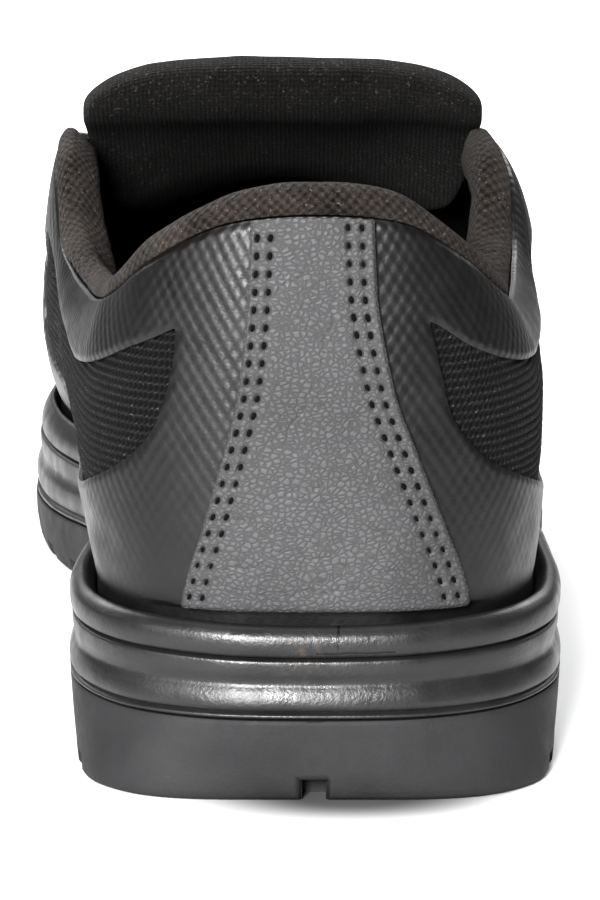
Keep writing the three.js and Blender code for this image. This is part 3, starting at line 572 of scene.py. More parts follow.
# %% Cuts in the tread
def wedge(name, centre, size, flare=0.0):
    """A block that widens downwards: a cube whose lower face is scaled lengthwise in edit mode."""
    bpy.ops.object.select_all(action="DESELECT")
    middle = (np.array(centre) - [0, HEEL_CENTRE * LENGTH, 0]) * MM
    bpy.ops.mesh.primitive_cube_add(size=1, location=middle)
    obj = bpy.context.object
    obj.name = name
    obj.scale = [v * MM for v in size]
    bpy.ops.object.transform_apply(location=True, rotation=False, scale=True)
    if flare:
        bpy.ops.object.mode_set(mode="EDIT")
        bpy.ops.mesh.select_mode(type="FACE")
        bpy.ops.mesh.select_all(action="DESELECT")
        bpy.ops.object.mode_set(mode="OBJECT")
        for polygon in obj.data.polygons:
            polygon.select = polygon.normal.z < -0.5
        bpy.ops.object.mode_set(mode="EDIT")
        grow = (size[1] + 2 * flare) / size[1]
        bpy.ops.transform.resize(value=(1.0, grow, 1.0), center_override=tuple(middle))
        bpy.ops.object.mode_set(mode="OBJECT")
    return obj


def profile_prism(name, profile, width):
    """A prism across the shoe over a polygon of lengthwise places and heights."""
    count = len(profile)
    points = [(x, s, z) for x in (-width, width) for s, z in profile]
    faces = [list(range(count)), list(range(2 * count - 1, count - 1, -1))]
    faces += [[i, i + count, (i + 1) % count + count, (i + 1) % count] for i in range(count)]
    obj = make_object(name, points, faces)
    select_only(obj)
    bpy.ops.object.mode_set(mode="EDIT")
    bpy.ops.mesh.select_all(action="SELECT")
    bpy.ops.mesh.normals_make_consistent(inside=False)
    bpy.ops.object.mode_set(mode="OBJECT")
    return obj


def cut_away(target, cutter):
    select_only(target)
    modifier = target.modifiers.new("cut", "BOOLEAN")
    modifier.operation, modifier.object, modifier.solver = "DIFFERENCE", cutter, "MANIFOLD"
    bpy.ops.object.modifier_apply(modifier=modifier.name)
    bpy.data.objects.remove(cutter)


# The notch is a funnel: wide and chamfered at the skin of the heel, narrow further in.
NOTCH_MIDDLE, NOTCH_CEILING = -0.3, 3.3
funnel = []
for s, half_low, half_high, ceiling in ((-3.0, 5.0, 3.9, 4.9), (2.4, 2.35, 1.95, NOTCH_CEILING)):
    funnel += [(NOTCH_MIDDLE + x, s, z) for x, z in ((-half_low, -2), (half_low, -2), (half_high, ceiling),
                                                     (-half_high, ceiling))]
funnel = make_object("funnel", funnel, [[0, 1, 2, 3], [7, 6, 5, 4], [0, 4, 5, 1], [1, 5, 6, 2], [2, 6, 7, 3],
                                        [3, 7, 4, 0]])
cut_away(outsole, funnel)
cut_away(outsole, wedge("tunnel", (NOTCH_MIDDLE, 3.0, NOTCH_CEILING / 2 - 1), (3.9, 7.3, NOTCH_CEILING + 2)))

GROOVE_WIDTH, GROOVE_DEPTH, GROOVE_FLARE, BREAST_HEIGHT = 5.0, 3.5, 1.0, 8.0
for at in (0.069, 0.172, 0.545, 0.602, 0.659, 0.716, 0.773, 0.830, 0.887, 0.944):
    floor = float(spring_at(at))
    tall = GROOVE_DEPTH + 2
    cut_away(outsole, wedge("groove", (0, at * LENGTH, floor + GROOVE_DEPTH - tall / 2),
                            (2 * BALL_WIDTH, GROOVE_WIDTH, tall), GROOVE_FLARE))
waist = [(0.272, -0.3), (0.495, -0.3), (0.490, 0.05), (0.465, 0.25), (0.430, 0.62), (0.390, 0.95),
         (0.340, 1.06), (0.286, 1.00)]
cut_away(outsole, profile_prism("waist", [(s * LENGTH, z * BREAST_HEIGHT) for s, z in waist], BALL_WIDTH))
toe_line = [(s * LENGTH, float(spring_at(s))) for s in np.linspace(1.05, SPRING_START, 9)]
cut_away(outsole, profile_prism("spring", [(1.05 * LENGTH, -2)] + toe_line + [(SPRING_START * LENGTH, -2)],
                                BALL_WIDTH))
if len(outsole.data.polygons) < 1000:
    raise ValueError("a cut emptied the outsole")
outsole.data.materials.clear()
outsole.data.materials.append(matt_block)
print("outsole after its cuts:", len(outsole.data.polygons), "faces")

# %% [markdown]
# The midsole's side wall is one moulded band with a lip, a thin groove and a bulge between soft
# troughs. Its section is a table of rises and insets, run around the outline. The rim dips a little
# behind the heel, and the bands are not quite even, as in the soft foam of the real one.

# %% Midsole
def cup_inset(rise, at):
    place = np.interp(rise, CUP_WALL["rise"], np.arange(len(CUP_WALL["rise"])))
    heel, ball = smooth_column(CUP_WALL["heel"], place), smooth_column(CUP_WALL["ball"], place)
    return mix(heel, ball, fore_share(at))


# how far the rim dips behind the heel, half the dip's width, and the unevenness of the bands, in mm
RIM_DIP, DIP_WIDTH, UNEVEN = 0.9, 24.0, 0.10
cup_base, cup_rim = block_top + GAP, sole_height("rim", sole_at)
rim_line = outline_point(sole_loops, 0.0)
cup_rim = cup_rim - RIM_DIP * np.exp(-(rim_line[:, 0] / DIP_WIDTH) ** 2) * (rim_line[:, 1] < 40)
cup_rises = np.unique(np.concatenate([np.linspace(0, 0.1, 12), np.linspace(0.1, 0.62, 26),
                                      np.linspace(0.62, 0.7, 12), np.linspace(0.7, 1, 18)]))
rings = []
for rise in cup_rises:
    ring = sole_ring(cup_inset(rise, sole_at), mix(cup_base, cup_rim, rise))
    ring[:, 2] += UNEVEN * ripple(ring, 24, 21) * math.sin(math.pi * rise)
    rings.append(ring)
rim_in = rim_thickness(sole_at)
for share, drop in ((0.2, 0.06), (0.4, 0.4), (0.6, 1.0), (0.8, 1.6), (1.0, GUTTER_DEPTH + 0.6)):
    rings.append(sole_ring(mix(cup_inset(1.0, sole_at), rim_in, share), cup_rim - drop))
rings.append(sole_ring(rim_in, sole_height("cup", sole_at) + 2))
rings.append(sole_ring(rim_in, sole_height("cup", sole_at)))
midsole = ring_solid("midsole_cup", rings, smooth=60)
midsole.data.materials.append(foam_cup)

# %% [markdown]
# The insole is a cut sheet of foam under a textile cover. Its edge is rounded up against the wall.

# %% Insole
in_base = sole_height("cup", sole_at) + GAP
in_edge = rim_in + GAP + UPPER_WALL + GAP
rings = [sole_ring(in_edge + grow, in_base + lift) for grow, lift in
         ((0.5, 0), (0.1, 0.4), (0, 1.2), (0, 3.2), (0.3, 3.8), (1.0, 4.0))]
insole = ring_solid("insole_sheet", rings)

# %% [markdown]
# ## The upper
# The real upper is a knit sock with a skin of embossed synthetic leather over it, cut out where the
# sides should breathe. So there are two shells here: the knit, and the skin with two windows in it. The
# cut follows the window's outline through the mesh's triangles, which gives a clean edge at any angle.

# %% Windows
MEDIAL_WINDOW = [(.0267, .762), (.035, .741), (.049, .718), (.072, .689), (.100, .668), (.150, .650),
                 (.195, .655), (.235, .665), (.265, .685), (.300, .720), (.335, .770), (.375, .755),
                 (.410, .680), (.425, .590), (.380, .490), (.260, .440), (.140, .445), (.079, .487),
                 (.051, .525), (.038, .557), (.031, .594), (.028, .635), (.0262, .690), (.0267, .762)]
LATERAL_WINDOW = [(.0205, .776), (.032, .730), (.045, .708), (.066, .690), (.100, .680), (.150, .672),
                  (.195, .664), (.235, .665), (.265, .685), (.300, .720), (.335, .770), (.375, .755),
                  (.410, .680), (.425, .590), (.380, .490), (.260, .440), (.140, .445), (.080, .482),
                  (.051, .513), (.035, .542), (.027, .580), (.023, .618), (.0213, .690), (.0205, .776)]


def window_outline(table):
    """The smooth outline of a window in places along the shoe and heights, with its rear corner kept."""
    points = np.array(table) * [LENGTH, COLLAR_HEIGHT]
    return curve_point(points, np.linspace(0, len(points) - 1, 360), False)


def polygon_distance(points, outline):
    """Distance of flat points from a closed outline, negative inside it."""
    start, end = outline, np.roll(outline, -1, axis=0)
    keep = np.linalg.norm(end - start, axis=1) > 1e-9
    start, end = start[keep], end[keep]
    nearest = np.full(len(points), np.inf)
    inside = np.zeros(len(points), bool)
    for a, b in zip(start, end):
        edge = b - a
        t = np.clip(((points - a) @ edge) / (edge @ edge), 0, 1)
        nearest = np.minimum(nearest, np.linalg.norm(points - a - t[:, None] * edge, axis=1))
        crosses = (a[1] > points[:, 1]) != (b[1] > points[:, 1])
        with np.errstate(divide="ignore", invalid="ignore"):
            where = a[0] + (points[:, 1] - a[1]) / (b[1] - a[1]) * edge[0]
        inside ^= crosses & (points[:, 0] < where)
    return np.where(inside, -nearest, nearest)


outlines = {-1: window_outline(MEDIAL_WINDOW), 1: window_outline(LATERAL_WINDOW)}


def window_distance(points, side):
    flat = np.asarray(points)[:, 1:3]
    distance = np.full(len(flat), 20.0)
    for which, outline in outlines.items():
        near = (np.asarray(side) == which) & (flat[:, 0] < 140) & (flat[:, 1] > 30)
        distance[near] = polygon_distance(flat[near], outline)
    return distance


# %% [markdown]
# Cutting a mesh along a line: each triangle that the line crosses is split in three, with new points
# where the line meets its edges. The points carry their place on the wall, so the new ones are put
# exactly on it.

# %% Splitting triangles along a line
def split_along(data, triangles, field, snap=0.03):
    """Splits triangles where field changes sign. data holds a row of values per point."""
    field = np.where(np.abs(field) < snap, 0.0, field)
    data, out = [data], []
    count = len(field)
    made = {}
    fresh = []

    def middle(a, b):
        nonlocal count
        key = (a, b) if a < b else (b, a)
        if key not in made:
            share = field[key[0]] / (field[key[0]] - field[key[1]])
            fresh.append(mix(data[0][key[0]], data[0][key[1]], share))
            made[key] = count
            count += 1
        return made[key]

    corner = field[triangles]
    crossed = (corner.max(1) > 0) & (corner.min(1) < 0)
    out.append(triangles[~crossed])
    pieces = []
    for a, b, c in triangles[crossed]:
        ring = []
        for p, q in ((a, b), (b, c), (c, a)):
            ring.append(p)
            if field[p] * field[q] < 0:
                ring.append(middle(p, q))
        for sign in (1, -1):
            part = [v for v in ring if v >= len(field) or field[v] * sign >= 0]
            pieces += [(part[0], part[n], part[n + 1]) for n in range(1, len(part) - 1)]
    if fresh:
        out.append(np.array(pieces))
        data.append(np.array(fresh))
    new_field = np.concatenate([field, np.zeros(count - len(field))])
    return np.vstack(data), np.vstack(out), new_field


def boundary_edges(triangles):
    edges = np.vstack([triangles[:, [0, 1]], triangles[:, [1, 2]], triangles[:, [2, 0]]])
    keys = np.sort(edges, axis=1)
    _, index, counts = np.unique(keys, axis=0, return_inverse=True, return_counts=True)
    return edges[counts[index.ravel()] == 1]


def thick_sheet(name, outer, inner, triangles, uv=None, values=None, smooth=50):
    """Closed sheet between an outer and an inner face that share their triangles."""
    count = len(outer)
    rim = boundary_edges(triangles)
    faces = [list(t) for t in triangles] + [list(t[::-1] + count) for t in triangles]
    faces += [[b, a, a + count, b + count] for a, b in rim]
    both = None if uv is None else np.vstack([uv, uv])
    doubled = {k: np.concatenate([v, v]) for k, v in (values or {}).items()}
    return make_object(name, np.vstack([outer, inner]), faces, both, doubled, smooth)


# %% [markdown]
# The skin starts as a grid on the wall, finer round the heel, where the camera is near. Its UV map holds
# true lengths on the wall, so that the embossing and the knit keep their size all round the shoe.

# %% The skin's grid
skin_loops = even_loops(0.8, 2.4)
skin_levels = np.concatenate([[0.0, 0.5], np.linspace(1, 5, 42), np.linspace(5, 12, 60)[1:]])
grid_loop, grid_level = (g.ravel() for g in np.meshgrid(skin_loops, skin_levels, indexing="ij"))
line_u = arc_lengths(wall_point(skin_loops, 6.0))
line_u -= np.interp(0.0, skin_loops, line_u)
print("the skin's grid:", len(skin_loops), "by", len(skin_levels))


def surface_uv(loop, level):
    """Lengths on the wall in mm: round it from the heel's middle, and up it."""
    signed = np.where(loop > LOOP / 2, loop - LOOP, loop)
    return np.column_stack([np.interp(signed, skin_loops, line_u), wall_point(loop, level)[:, 2]])


def as_triangles(quads):
    quads = np.asarray(quads)
    return np.vstack([quads[:, [0, 1, 2]], quads[:, [0, 2, 3]]])


def join_ridge(loop, level, triangles):
    """Makes the two sides share their points along the ridge of the vamp and at the toe."""
    row = np.round(row_of(loop), 6)
    on_ridge = (level >= TOP_LEVEL - 1e-9) & (row >= THROAT_ROW - 1e-6)
    toe = row >= ROWS - 1 - 1e-6
    key = np.column_stack([np.where(on_ridge | toe, 1, side_of(loop)), row, np.round(level, 6)])
    _, first, index = np.unique(key, axis=0, return_index=True, return_inverse=True)
    moved = first[index.ravel()]
    target = np.where(on_ridge | toe, moved, np.arange(len(loop)))
    joined = target[triangles]
    whole = (joined[:, 0] != joined[:, 1]) & (joined[:, 1] != joined[:, 2]) & (joined[:, 0] != joined[:, 2])
    return joined[whole]


skin = np.column_stack([grid_loop, grid_level])
skin_triangles = as_triangles(grid_faces(len(skin_loops), len(skin_levels)))
skin_triangles = join_ridge(grid_loop, grid_level, skin_triangles)
skin_place = wall_point(skin[:, 0], skin[:, 1])
skin_field = window_distance(skin_place, side_of(skin[:, 0]))

# %% [markdown]
# The cut edge of the skin is slightly rounded: the skin sinks a little over its last 0.9 mm. Soft
# hollows and ridges are then listed, each with its place, its length and its depth, where the
# quarters have settled in wear. Behind the heel the skin is set back just above the cup's rim.

# %% Cutting and rounding the skin
skin, skin_triangles, skin_field = split_along(skin, skin_triangles, skin_field)
middle_field = skin_field[skin_triangles].mean(1)
skin_triangles = skin_triangles[middle_field > 0]
edge_points = wall_point(*skin[np.unique(boundary_edges(skin_triangles))].T)


def distance_to(points, targets):
    tree = KDTree(len(targets))
    for n, target in enumerate(targets):
        tree.insert(target, n)
    tree.balance()
    return np.array([tree.find(point)[2] for point in points])


near_window = np.abs(skin_field) < 4
edge_distance = np.full(len(skin), 9.0)
window_edge = edge_points[np.abs(window_distance(edge_points, np.where(edge_points[:, 0] < 0, -1, 1))) < 0.3]
edge_distance[near_window] = distance_to(wall_point(*skin[near_window].T), window_edge)
print("points on the windows' edges:", len(window_edge))

SKIN_THICKNESS, FOOT_RECESS = WINDOW_DEPTH - 0.05, 0.9
# fold: loop and height of the middle, half lengths along and up in mm, tilt in degrees, depth in mm
SKIN_FOLDS = [
    (5.6, 66.0, 13, 2.2, 12, 0.45), (6.6, 60.0, 10, 2.0, 20, -0.25), (-5.2, 64.0, 14, 2.4, -10, 0.40),
    (-6.4, 70.0, 9, 2.0, -30, -0.30), (3.2, 42.0, 12, 3.0, 8, 0.25), (-3.1, 44.0, 11, 2.6, -14, 0.22),
    (9.6, 78.0, 12, 2.4, 60, 0.5), (-9.6, 78.0, 12, 2.4, -60, 0.5), (13.2, 50.0, 24, 2.6, 88, 0.7),
    (-13.0, 50.0, 24, 2.6, -88, 0.7), (13.7, 46.0, 22, 2.0, 86, -0.4), (-13.6, 46.0, 22, 2.0, -86, -0.4),
]


def fold_depth(uv, folds):
    """Depth of listed soft troughs at lengths on the wall; ridges have a negative depth."""
    depth = np.zeros(len(uv))
    for loop, height, along, across, tilt, deep in folds:
        middle = np.array([np.interp(loop, skin_loops, line_u), height])
        angle = math.radians(tilt)
        away = uv - middle
        length = away @ [math.cos(angle), math.sin(angle)]
        width = away @ [-math.sin(angle), math.cos(angle)] + 0.012 * length**2
        depth += deep * np.exp(-(length / along) ** 2 - (width / across) ** 2)
    return depth


skin_uv = surface_uv(skin[:, 0], skin[:, 1])
skin_points = wall_point(skin[:, 0], skin[:, 1])
rounding = -0.35 * (1 - smoothstep(edge_distance, 0, 0.9))
skin_out = rounding - fold_depth(skin_uv, SKIN_FOLDS) + 0.10 * ripple(skin_points, 17, 3)
skin_out -= 0.5 * smoothstep(skin[:, 1], 11.7, 12) * (row_of(skin[:, 0]) < THROAT_ROW)
above_rim = skin_points[:, 2] - sole_height("rim", smooth_column(LAST["at"], row_of(skin[:, 0])))
behind_heel = 1 - smoothstep(row_of(skin[:, 0]), 1.0, 2.2)
skin_out -= FOOT_RECESS * (1 - smoothstep(above_rim, 0.7, 1.2)) * behind_heel
outer = offset_wall(skin[:, 0], skin[:, 1], skin_out)
inner = offset_wall(skin[:, 0], skin[:, 1], np.minimum(-SKIN_THICKNESS, skin_out - 0.3))
skin_object = thick_sheet("synthetic_skin", outer, inner, skin_triangles, skin_uv,
                          {"edge": np.clip(edge_distance, 0, 9)})

# %% [markdown]
# Under the skin lies the knit. Where it shows in the windows, its rows of loops stand up as real ribs
# 1.4 mm apart. The rest of the shell is hidden, so it needs no ribs.

# %% Knit shell
knit_loops = even_loops(1.1, 3.2)
knit_levels = np.concatenate([[0.0, 0.6], np.linspace(1, 3.2, 5), np.linspace(3.4, 10.2, 104),
                              np.linspace(10.6, 12, 5)])
knit_loop, knit_level = (g.ravel() for g in np.meshgrid(knit_loops, knit_levels, indexing="ij"))
knit_triangles = as_triangles(grid_faces(len(knit_loops), len(knit_levels)))
knit_triangles = join_ridge(knit_loop, knit_level, knit_triangles)
knit_uv = surface_uv(knit_loop, knit_level)
knit_place = wall_point(knit_loop, knit_level)
knit_field = window_distance(knit_place, side_of(knit_loop))
KNIT_ROW = 1.4
rib = 0.20 * np.cos(2 * math.pi * (knit_uv[:, 1] + 0.02 * knit_uv[:, 0]) / KNIT_ROW) * (knit_field < 1)
bulge = 0.25 * smoothstep(-knit_field, 0, 6)
knit_outer = offset_wall(knit_loop, knit_level, -WINDOW_DEPTH - 0.22 + rib + bulge)
knit_inner = offset_wall(knit_loop, knit_level, np.full(len(knit_loop), -UPPER_WALL))
knit_object = thick_sheet("knit_shell", knit_outer, knit_inner, knit_triangles, knit_uv)

# %% [markdown]
# ## Heel strip
# The strip over the back seam is a real piece of pebbled leather, laid on the skin and held by two
# rows of stitches along each edge. It is a patch of its own grid, with its edges on two curves. For each
# wanted place seen from behind, a few Newton steps find the place on the wall.

# %% Places on the wall
def find_on_wall(targets, axes, start):
    """Loop and level where the wall has the wanted two coordinates."""
    guess = np.array(start, float)
    step = 1e-3
    for _ in range(12):
        here = wall_point(guess[:, 0], guess[:, 1], down=0.0)[:, axes]
        by_loop = (wall_point(guess[:, 0] + step, guess[:, 1], down=0.0)[:, axes] - here) / step
        by_level = (wall_point(guess[:, 0], guess[:, 1] + step, down=0.0)[:, axes] - here) / step
        miss = targets - here
        area = by_loop[:, 0] * by_level[:, 1] - by_loop[:, 1] * by_level[:, 0]
        area = np.where(np.abs(area) < 1e-6, 1e-6, area)
        move = np.column_stack([(miss[:, 0] * by_level[:, 1] - miss[:, 1] * by_level[:, 0]) / area,
                                (by_loop[:, 0] * miss[:, 1] - by_loop[:, 1] * miss[:, 0]) / area])
        guess += np.clip(move, -0.5, 0.5)
        guess[:, 1] = np.clip(guess[:, 1], 1.0, TOP_LEVEL)
    return guess


STRIP = columns(("height", "left", "right"), [
    (0.309, -0.258, 0.295), (0.347, -0.250, 0.289), (0.440, -0.218, 0.250), (0.540, -0.185, 0.205),
    (0.660, -0.150, 0.152), (0.815, -0.130, 0.117), (1.100, -0.118, 0.106)])


def strip_edge(name, height):
    place = np.interp(height / COLLAR_HEIGHT, STRIP["height"], np.arange(len(STRIP["height"])))
    return smooth_column(STRIP[name], place) * HEEL_WIDTH


def strip_top(x):
    """Height of the skin's upper edge behind the heel, where the textile band begins."""
    loops = np.linspace(-2.5, 2.5, 400)
    edge = wall_point(loops, TOP_LEVEL)
    order = np.argsort(edge[:, 0])
    return np.interp(x, edge[order, 0], edge[order, 2])


STRIP_FOOT, STRIP_THICKNESS = RIM_HEIGHT + 4 * GAP, 1.3


def strip_params(x, height):
    """Loop and level of places on the strip, given by x and height."""
    level = 1 + 11 * (height - STRIP_FOOT) / 66
    loop = np.interp(-x, [-25, -18.5, 0, 18.5, 25], [-1.5, -1, 0, 1, 1.5])
    return find_on_wall(np.column_stack([x, height]), [0, 2], np.column_stack([loop, level]))


strip_rise, strip_across = np.linspace(0, 1, 250), np.linspace(-1, 1, 136)
rise, across = (g.ravel() for g in np.meshgrid(strip_rise, strip_across, indexing="ij"))
height = mix(STRIP_FOOT, 95.0, rise)
for _ in range(3):
    left, right = strip_edge("left", height), strip_edge("right", height)
    strip_x = mix(left, right, 0.5 + 0.5 * across)
    height = mix(STRIP_FOOT, strip_top(strip_x) - 0.1, rise)
strip_at = strip_params(strip_x, height)
found = wall_point(strip_at[:, 0], strip_at[:, 1], down=0.0)
miss = np.abs(found[:, [0, 2]] - np.column_stack([strip_x, height])).max()
print("strip: largest miss in mm", np.round(miss, 3))

# %% [markdown]
# Two rows of stitches run beside each edge, at a measured distance from it. Their places come first,
# because each stitch pulls a small pit into the leather.

# %% Places of the stitches
STITCH_PITCH = 2.9
# distance of each stitch row from the strip's edge, in mm, at the left and at the right
LEFT_ROWS, RIGHT_ROWS = (1.2, 3.3), (2.0, 4.2)
stitch_places = []
row_height = np.linspace(STRIP_FOOT + 0.6, strip_top(0.0) - 0.8, 400)
for edge_name, way, row_offsets in (("left", 1, LEFT_ROWS), ("right", -1, RIGHT_ROWS)):
    for offset in row_offsets:
        row_x = strip_edge(edge_name, row_height) + way * offset
        row_at = strip_params(row_x, np.minimum(row_height, strip_top(row_x) - 0.8))
        row_line = wall_point(row_at[:, 0], row_at[:, 1], down=0.0)
        length = arc_lengths(row_line)
        middles = np.arange(0.5 * STITCH_PITCH, length[-1], STITCH_PITCH)
        stitch_places.append(np.column_stack([np.interp(middles, length, row_at[:, n]) for n in (0, 1)]))
print("stitches in each row:", [len(places) for places in stitch_places])

# %% [markdown]
# Pebbled leather has pebbles about 1 mm across, parted by fine valleys, and creases that run through
# many of them. The creases, the pits of the stitches and the soft unevenness are in the mesh. The
# pebbles come from the material.

# %% Heel strip
STRIP_WIDTH = right - left
edge_left, edge_right = (across + 1) / 2 * STRIP_WIDTH, (1 - across) / 2 * STRIP_WIDTH
# half length, half width and depth of the pit round a stitch, and depth of the channel along a row
PIT_LONG, PIT_WIDE, PIT_DEPTH, CHANNEL_DEPTH = 0.66, 0.46, 0.60, 0.14
strip_points = wall_point(strip_at[:, 0], strip_at[:, 1], down=0.0)
pits, channel = np.zeros(len(strip_x)), np.zeros(len(strip_x))
for places in stitch_places:
    middles = wall_point(places[:, 0], places[:, 1], down=0.0)
    ways = np.gradient(middles, axis=0)
    ways /= np.linalg.norm(ways, axis=1, keepdims=True)
    for middle, way in zip(middles, ways):
        away = strip_points - middle
        along = away @ way
        beside = np.sqrt(np.maximum(0, (away**2).sum(1) - along**2))
        pits = np.maximum(pits, np.exp(-((along / PIT_LONG) ** 2 + (beside / PIT_WIDE) ** 2) ** 1.5))
        channel = np.maximum(channel, np.exp(-(along / STITCH_PITCH) ** 2 - (beside / 0.8) ** 2))


strip_flat = np.column_stack([strip_x, height])
# creases of the strip: x and height of the middle, half length, half width, tilt, depth
CREASES = [(-9, 46, 7, .35, -20, .16), (3, 40, 9, .4, -12, .14), (12, 44, 8, .35, -28, .16),
           (-2, 52, 6, .3, 15, .12), (-12, 39, 6, .3, 10, .12), (8, 58, 6, .3, -40, .12),
           (-3, 64, 5, .3, 60, .10), (2, 78, 5, .28, 75, .10), (-4, 86, 4, .28, 40, .10),
           (5, 88, 4, .25, -50, .10), (15, 38, 5, .3, -8, .12), (0, 35, 9, .4, 3, .12)]
crease = np.zeros(len(strip_flat))
for x, z, along, wide, tilt, deep in CREASES:
    angle = math.radians(tilt)
    away = strip_flat - [x, z]
    length = away @ [math.cos(angle), math.sin(angle)]
    width = away @ [-math.sin(angle), math.cos(angle)] + 0.35 * np.sin(length * 1.1)
    crease += deep * np.exp(-(length / along) ** 2 - (width / wide) ** 2)
near_edge = np.minimum(edge_left, edge_right)
strip_out = GAP + STRIP_THICKNESS - 0.45 * (1 - smoothstep(near_edge, 0, 0.6)) - PIT_DEPTH * pits
strip_out -= CHANNEL_DEPTH * channel + crease
strip_out += 0.12 * ripple(strip_points, 15, 8) + 0.03 * ripple(strip_points, 3.5, 9)
strip_out -= 0.35 * (1 - smoothstep(height - STRIP_FOOT, 0, 0.7))
strip_outer = offset_wall(strip_at[:, 0], strip_at[:, 1], strip_out, down=0.0)
strip_inner = offset_wall(strip_at[:, 0], strip_at[:, 1], np.full(len(strip_x), GAP), down=0.0)
strip_triangles = as_triangles(grid_faces(len(strip_rise), len(strip_across)))
if np.cross(strip_outer[strip_triangles[0, 1]] - strip_outer[strip_triangles[0, 0]],
            strip_outer[strip_triangles[0, 2]] - strip_outer[strip_triangles[0, 0]])[1] > 0:
    strip_triangles = strip_triangles[:, ::-1]
# the "pit" attribute is the shape of the stitches' pits, which the leather's material darkens as painted
# shade
strip_object = thick_sheet("pebbled_heel_strip", strip_outer, strip_inner, strip_triangles,
                           strip_flat, {"pit": pits}, smooth=70)

# %% [markdown]
# ## Stitches
# Each stitch is a short thread that rises from one needle hole and dives into the next. One is modelled
# from a primitive, bent down at its ends in edit mode, and copied along the four rows. It lies deep in
# its pit, where it reads as a small dark oval.

# %% One stitch
THREAD_RADIUS, STITCH_LENGTH, DIVE_LENGTH, DIVE_DEPTH = 0.36, 1.1, 0.30, 0.42


def make_stitch():
    """A single stitch along X, in mm, with its ends bent down into the needle holes."""
    bpy.ops.object.select_all(action="DESELECT")
    bpy.ops.mesh.primitive_cylinder_add(vertices=7, radius=THREAD_RADIUS * MM, depth=STITCH_LENGTH * MM,
                                        rotation=(0, math.pi / 2, 0))
    obj = bpy.context.object
    bpy.ops.object.transform_apply(location=True, rotation=True, scale=True)
    for side in (-1, 1):
        bpy.ops.object.mode_set(mode="EDIT")
        bpy.ops.mesh.select_mode(type="FACE")
        bpy.ops.mesh.select_all(action="DESELECT")
        bpy.ops.object.mode_set(mode="OBJECT")
        for polygon in obj.data.polygons:
            polygon.select = polygon.normal.x * side > 0.9
        bpy.ops.object.mode_set(mode="EDIT")
        dive = (side * DIVE_LENGTH * MM, 0, -DIVE_DEPTH * MM)
        bpy.ops.mesh.extrude_region_move(TRANSFORM_OT_translate={"value": dive})
        bpy.ops.transform.resize(value=(1, 0.75, 0.75))
        bpy.ops.object.mode_set(mode="OBJECT")
    mesh = obj.data
    points = np.array([v.co for v in mesh.vertices]) / MM
    faces = [list(p.vertices) for p in mesh.polygons]
    bpy.data.objects.remove(obj)
    return points, faces


stitch_points, stitch_faces = make_stitch()
print("one stitch:", len(stitch_points), "points")


def stitch_row(places, lift, slant, seed):
    """Copies of the stitch at places on the wall, each with its own points."""
    random = np.random.default_rng(seed)
    middles = offset_wall(places[:, 0], places[:, 1], np.full(len(places), lift), down=0.0)
    normals = wall_normal(places[:, 0], places[:, 1], down=0.0)
    ways = np.gradient(middles, axis=0)
    points, faces = [], []
    for middle, up, ahead in zip(middles, normals, ways):
        ahead = ahead - up * (up @ ahead)
        ahead /= np.linalg.norm(ahead)
        turn = math.radians(slant + random.uniform(-6, 6))
        way = ahead * math.cos(turn) + np.cross(up, ahead) * math.sin(turn)
        basis = np.stack([way, np.cross(up, way), up])
        faces += [[v + len(points) * len(stitch_points) for v in face] for face in stitch_faces]
        points.append(middle + stitch_points @ basis)
    return np.vstack(points), faces


def join_rows(name, rows, **options):
    points, faces = [], []
    for row_points, row_faces in rows:
        start = sum(len(p) for p in points)
        faces += [[v + start for v in face] for face in row_faces]
        points.append(row_points)
    return make_object(name, np.vstack(points), faces, **options)


THREAD_LIFT = GAP + STRIP_THICKNESS - 0.70
rows = [stitch_row(places, THREAD_LIFT, slant, number + 3)
        for number, (places, slant) in enumerate(zip(stitch_places, (-14, -14, 14, 14)))]
stitches = join_rows("heel_strip_stitches", rows, smooth=60)

# %% [markdown]
# ## Collar
# The collar is foam under a stretch textile, rolled over the edge of the opening. It is a loft of one
# section, whose padding thins towards the ends. Soft puckers run across the roll, where the textile is
# drawn round the tight bends beside the heel.

# %% Collar roll
COLLAR_DEPTH, COLLAR_END_ROW, COLLAR_SEAT = 0.6, 8.8, UPPER_WALL + GAP
collar_fine = even_loops(0.7, 0.7, level=11.0, last_row=COLLAR_END_ROW)
section = np.concatenate([np.linspace(0, 4, 30), np.linspace(4, 10, 36)[1:]])
parts = {name: smooth_column(COLLAR[name], section) for name in ("band", "depth", "inset")}
parts["band"], parts["depth"] = np.clip(parts["band"], 0, 1), np.clip(parts["depth"], 0, 1)
for band, depth in ((0, 1.0), (0, 0.6), (0.3, 0), (1, 0)):
    for key, value in (("band", band), ("depth", depth), ("inset", COLLAR_SEAT)):
        parts[key] = np.append(parts[key], value)
count_section = len(parts["band"])
loop_grid = np.repeat(collar_fine, count_section)
section_grid = np.tile(np.arange(count_section), len(collar_fine))
rows_here = np.abs(loop_grid)
crest = wall_point(loop_grid, TOP_LEVEL, down=0.0)[:, 2]
depth_here = COLLAR_DEPTH * (crest - wall_point(loop_grid, GIRTH_LEVEL)[:, 2])
band_here = smooth_column(LAST["cuff"], rows_here) * COLLAR_HEIGHT - GAP
thinning = mix(1.0, 0.85, smoothstep(rows_here, 6, 8))
inset = parts["inset"][section_grid]
inset = np.where(inset > COLLAR_SEAT, COLLAR_SEAT + (inset - COLLAR_SEAT) * thinning, inset)
down = parts["band"][section_grid] * band_here + parts["depth"][section_grid] * depth_here
collar_base = offset_wall(loop_grid, np.full(len(loop_grid), float(TOP_LEVEL)), -inset, down=down)
collar_normal = wall_normal(loop_grid, np.full(len(loop_grid), float(TOP_LEVEL)), down=down)
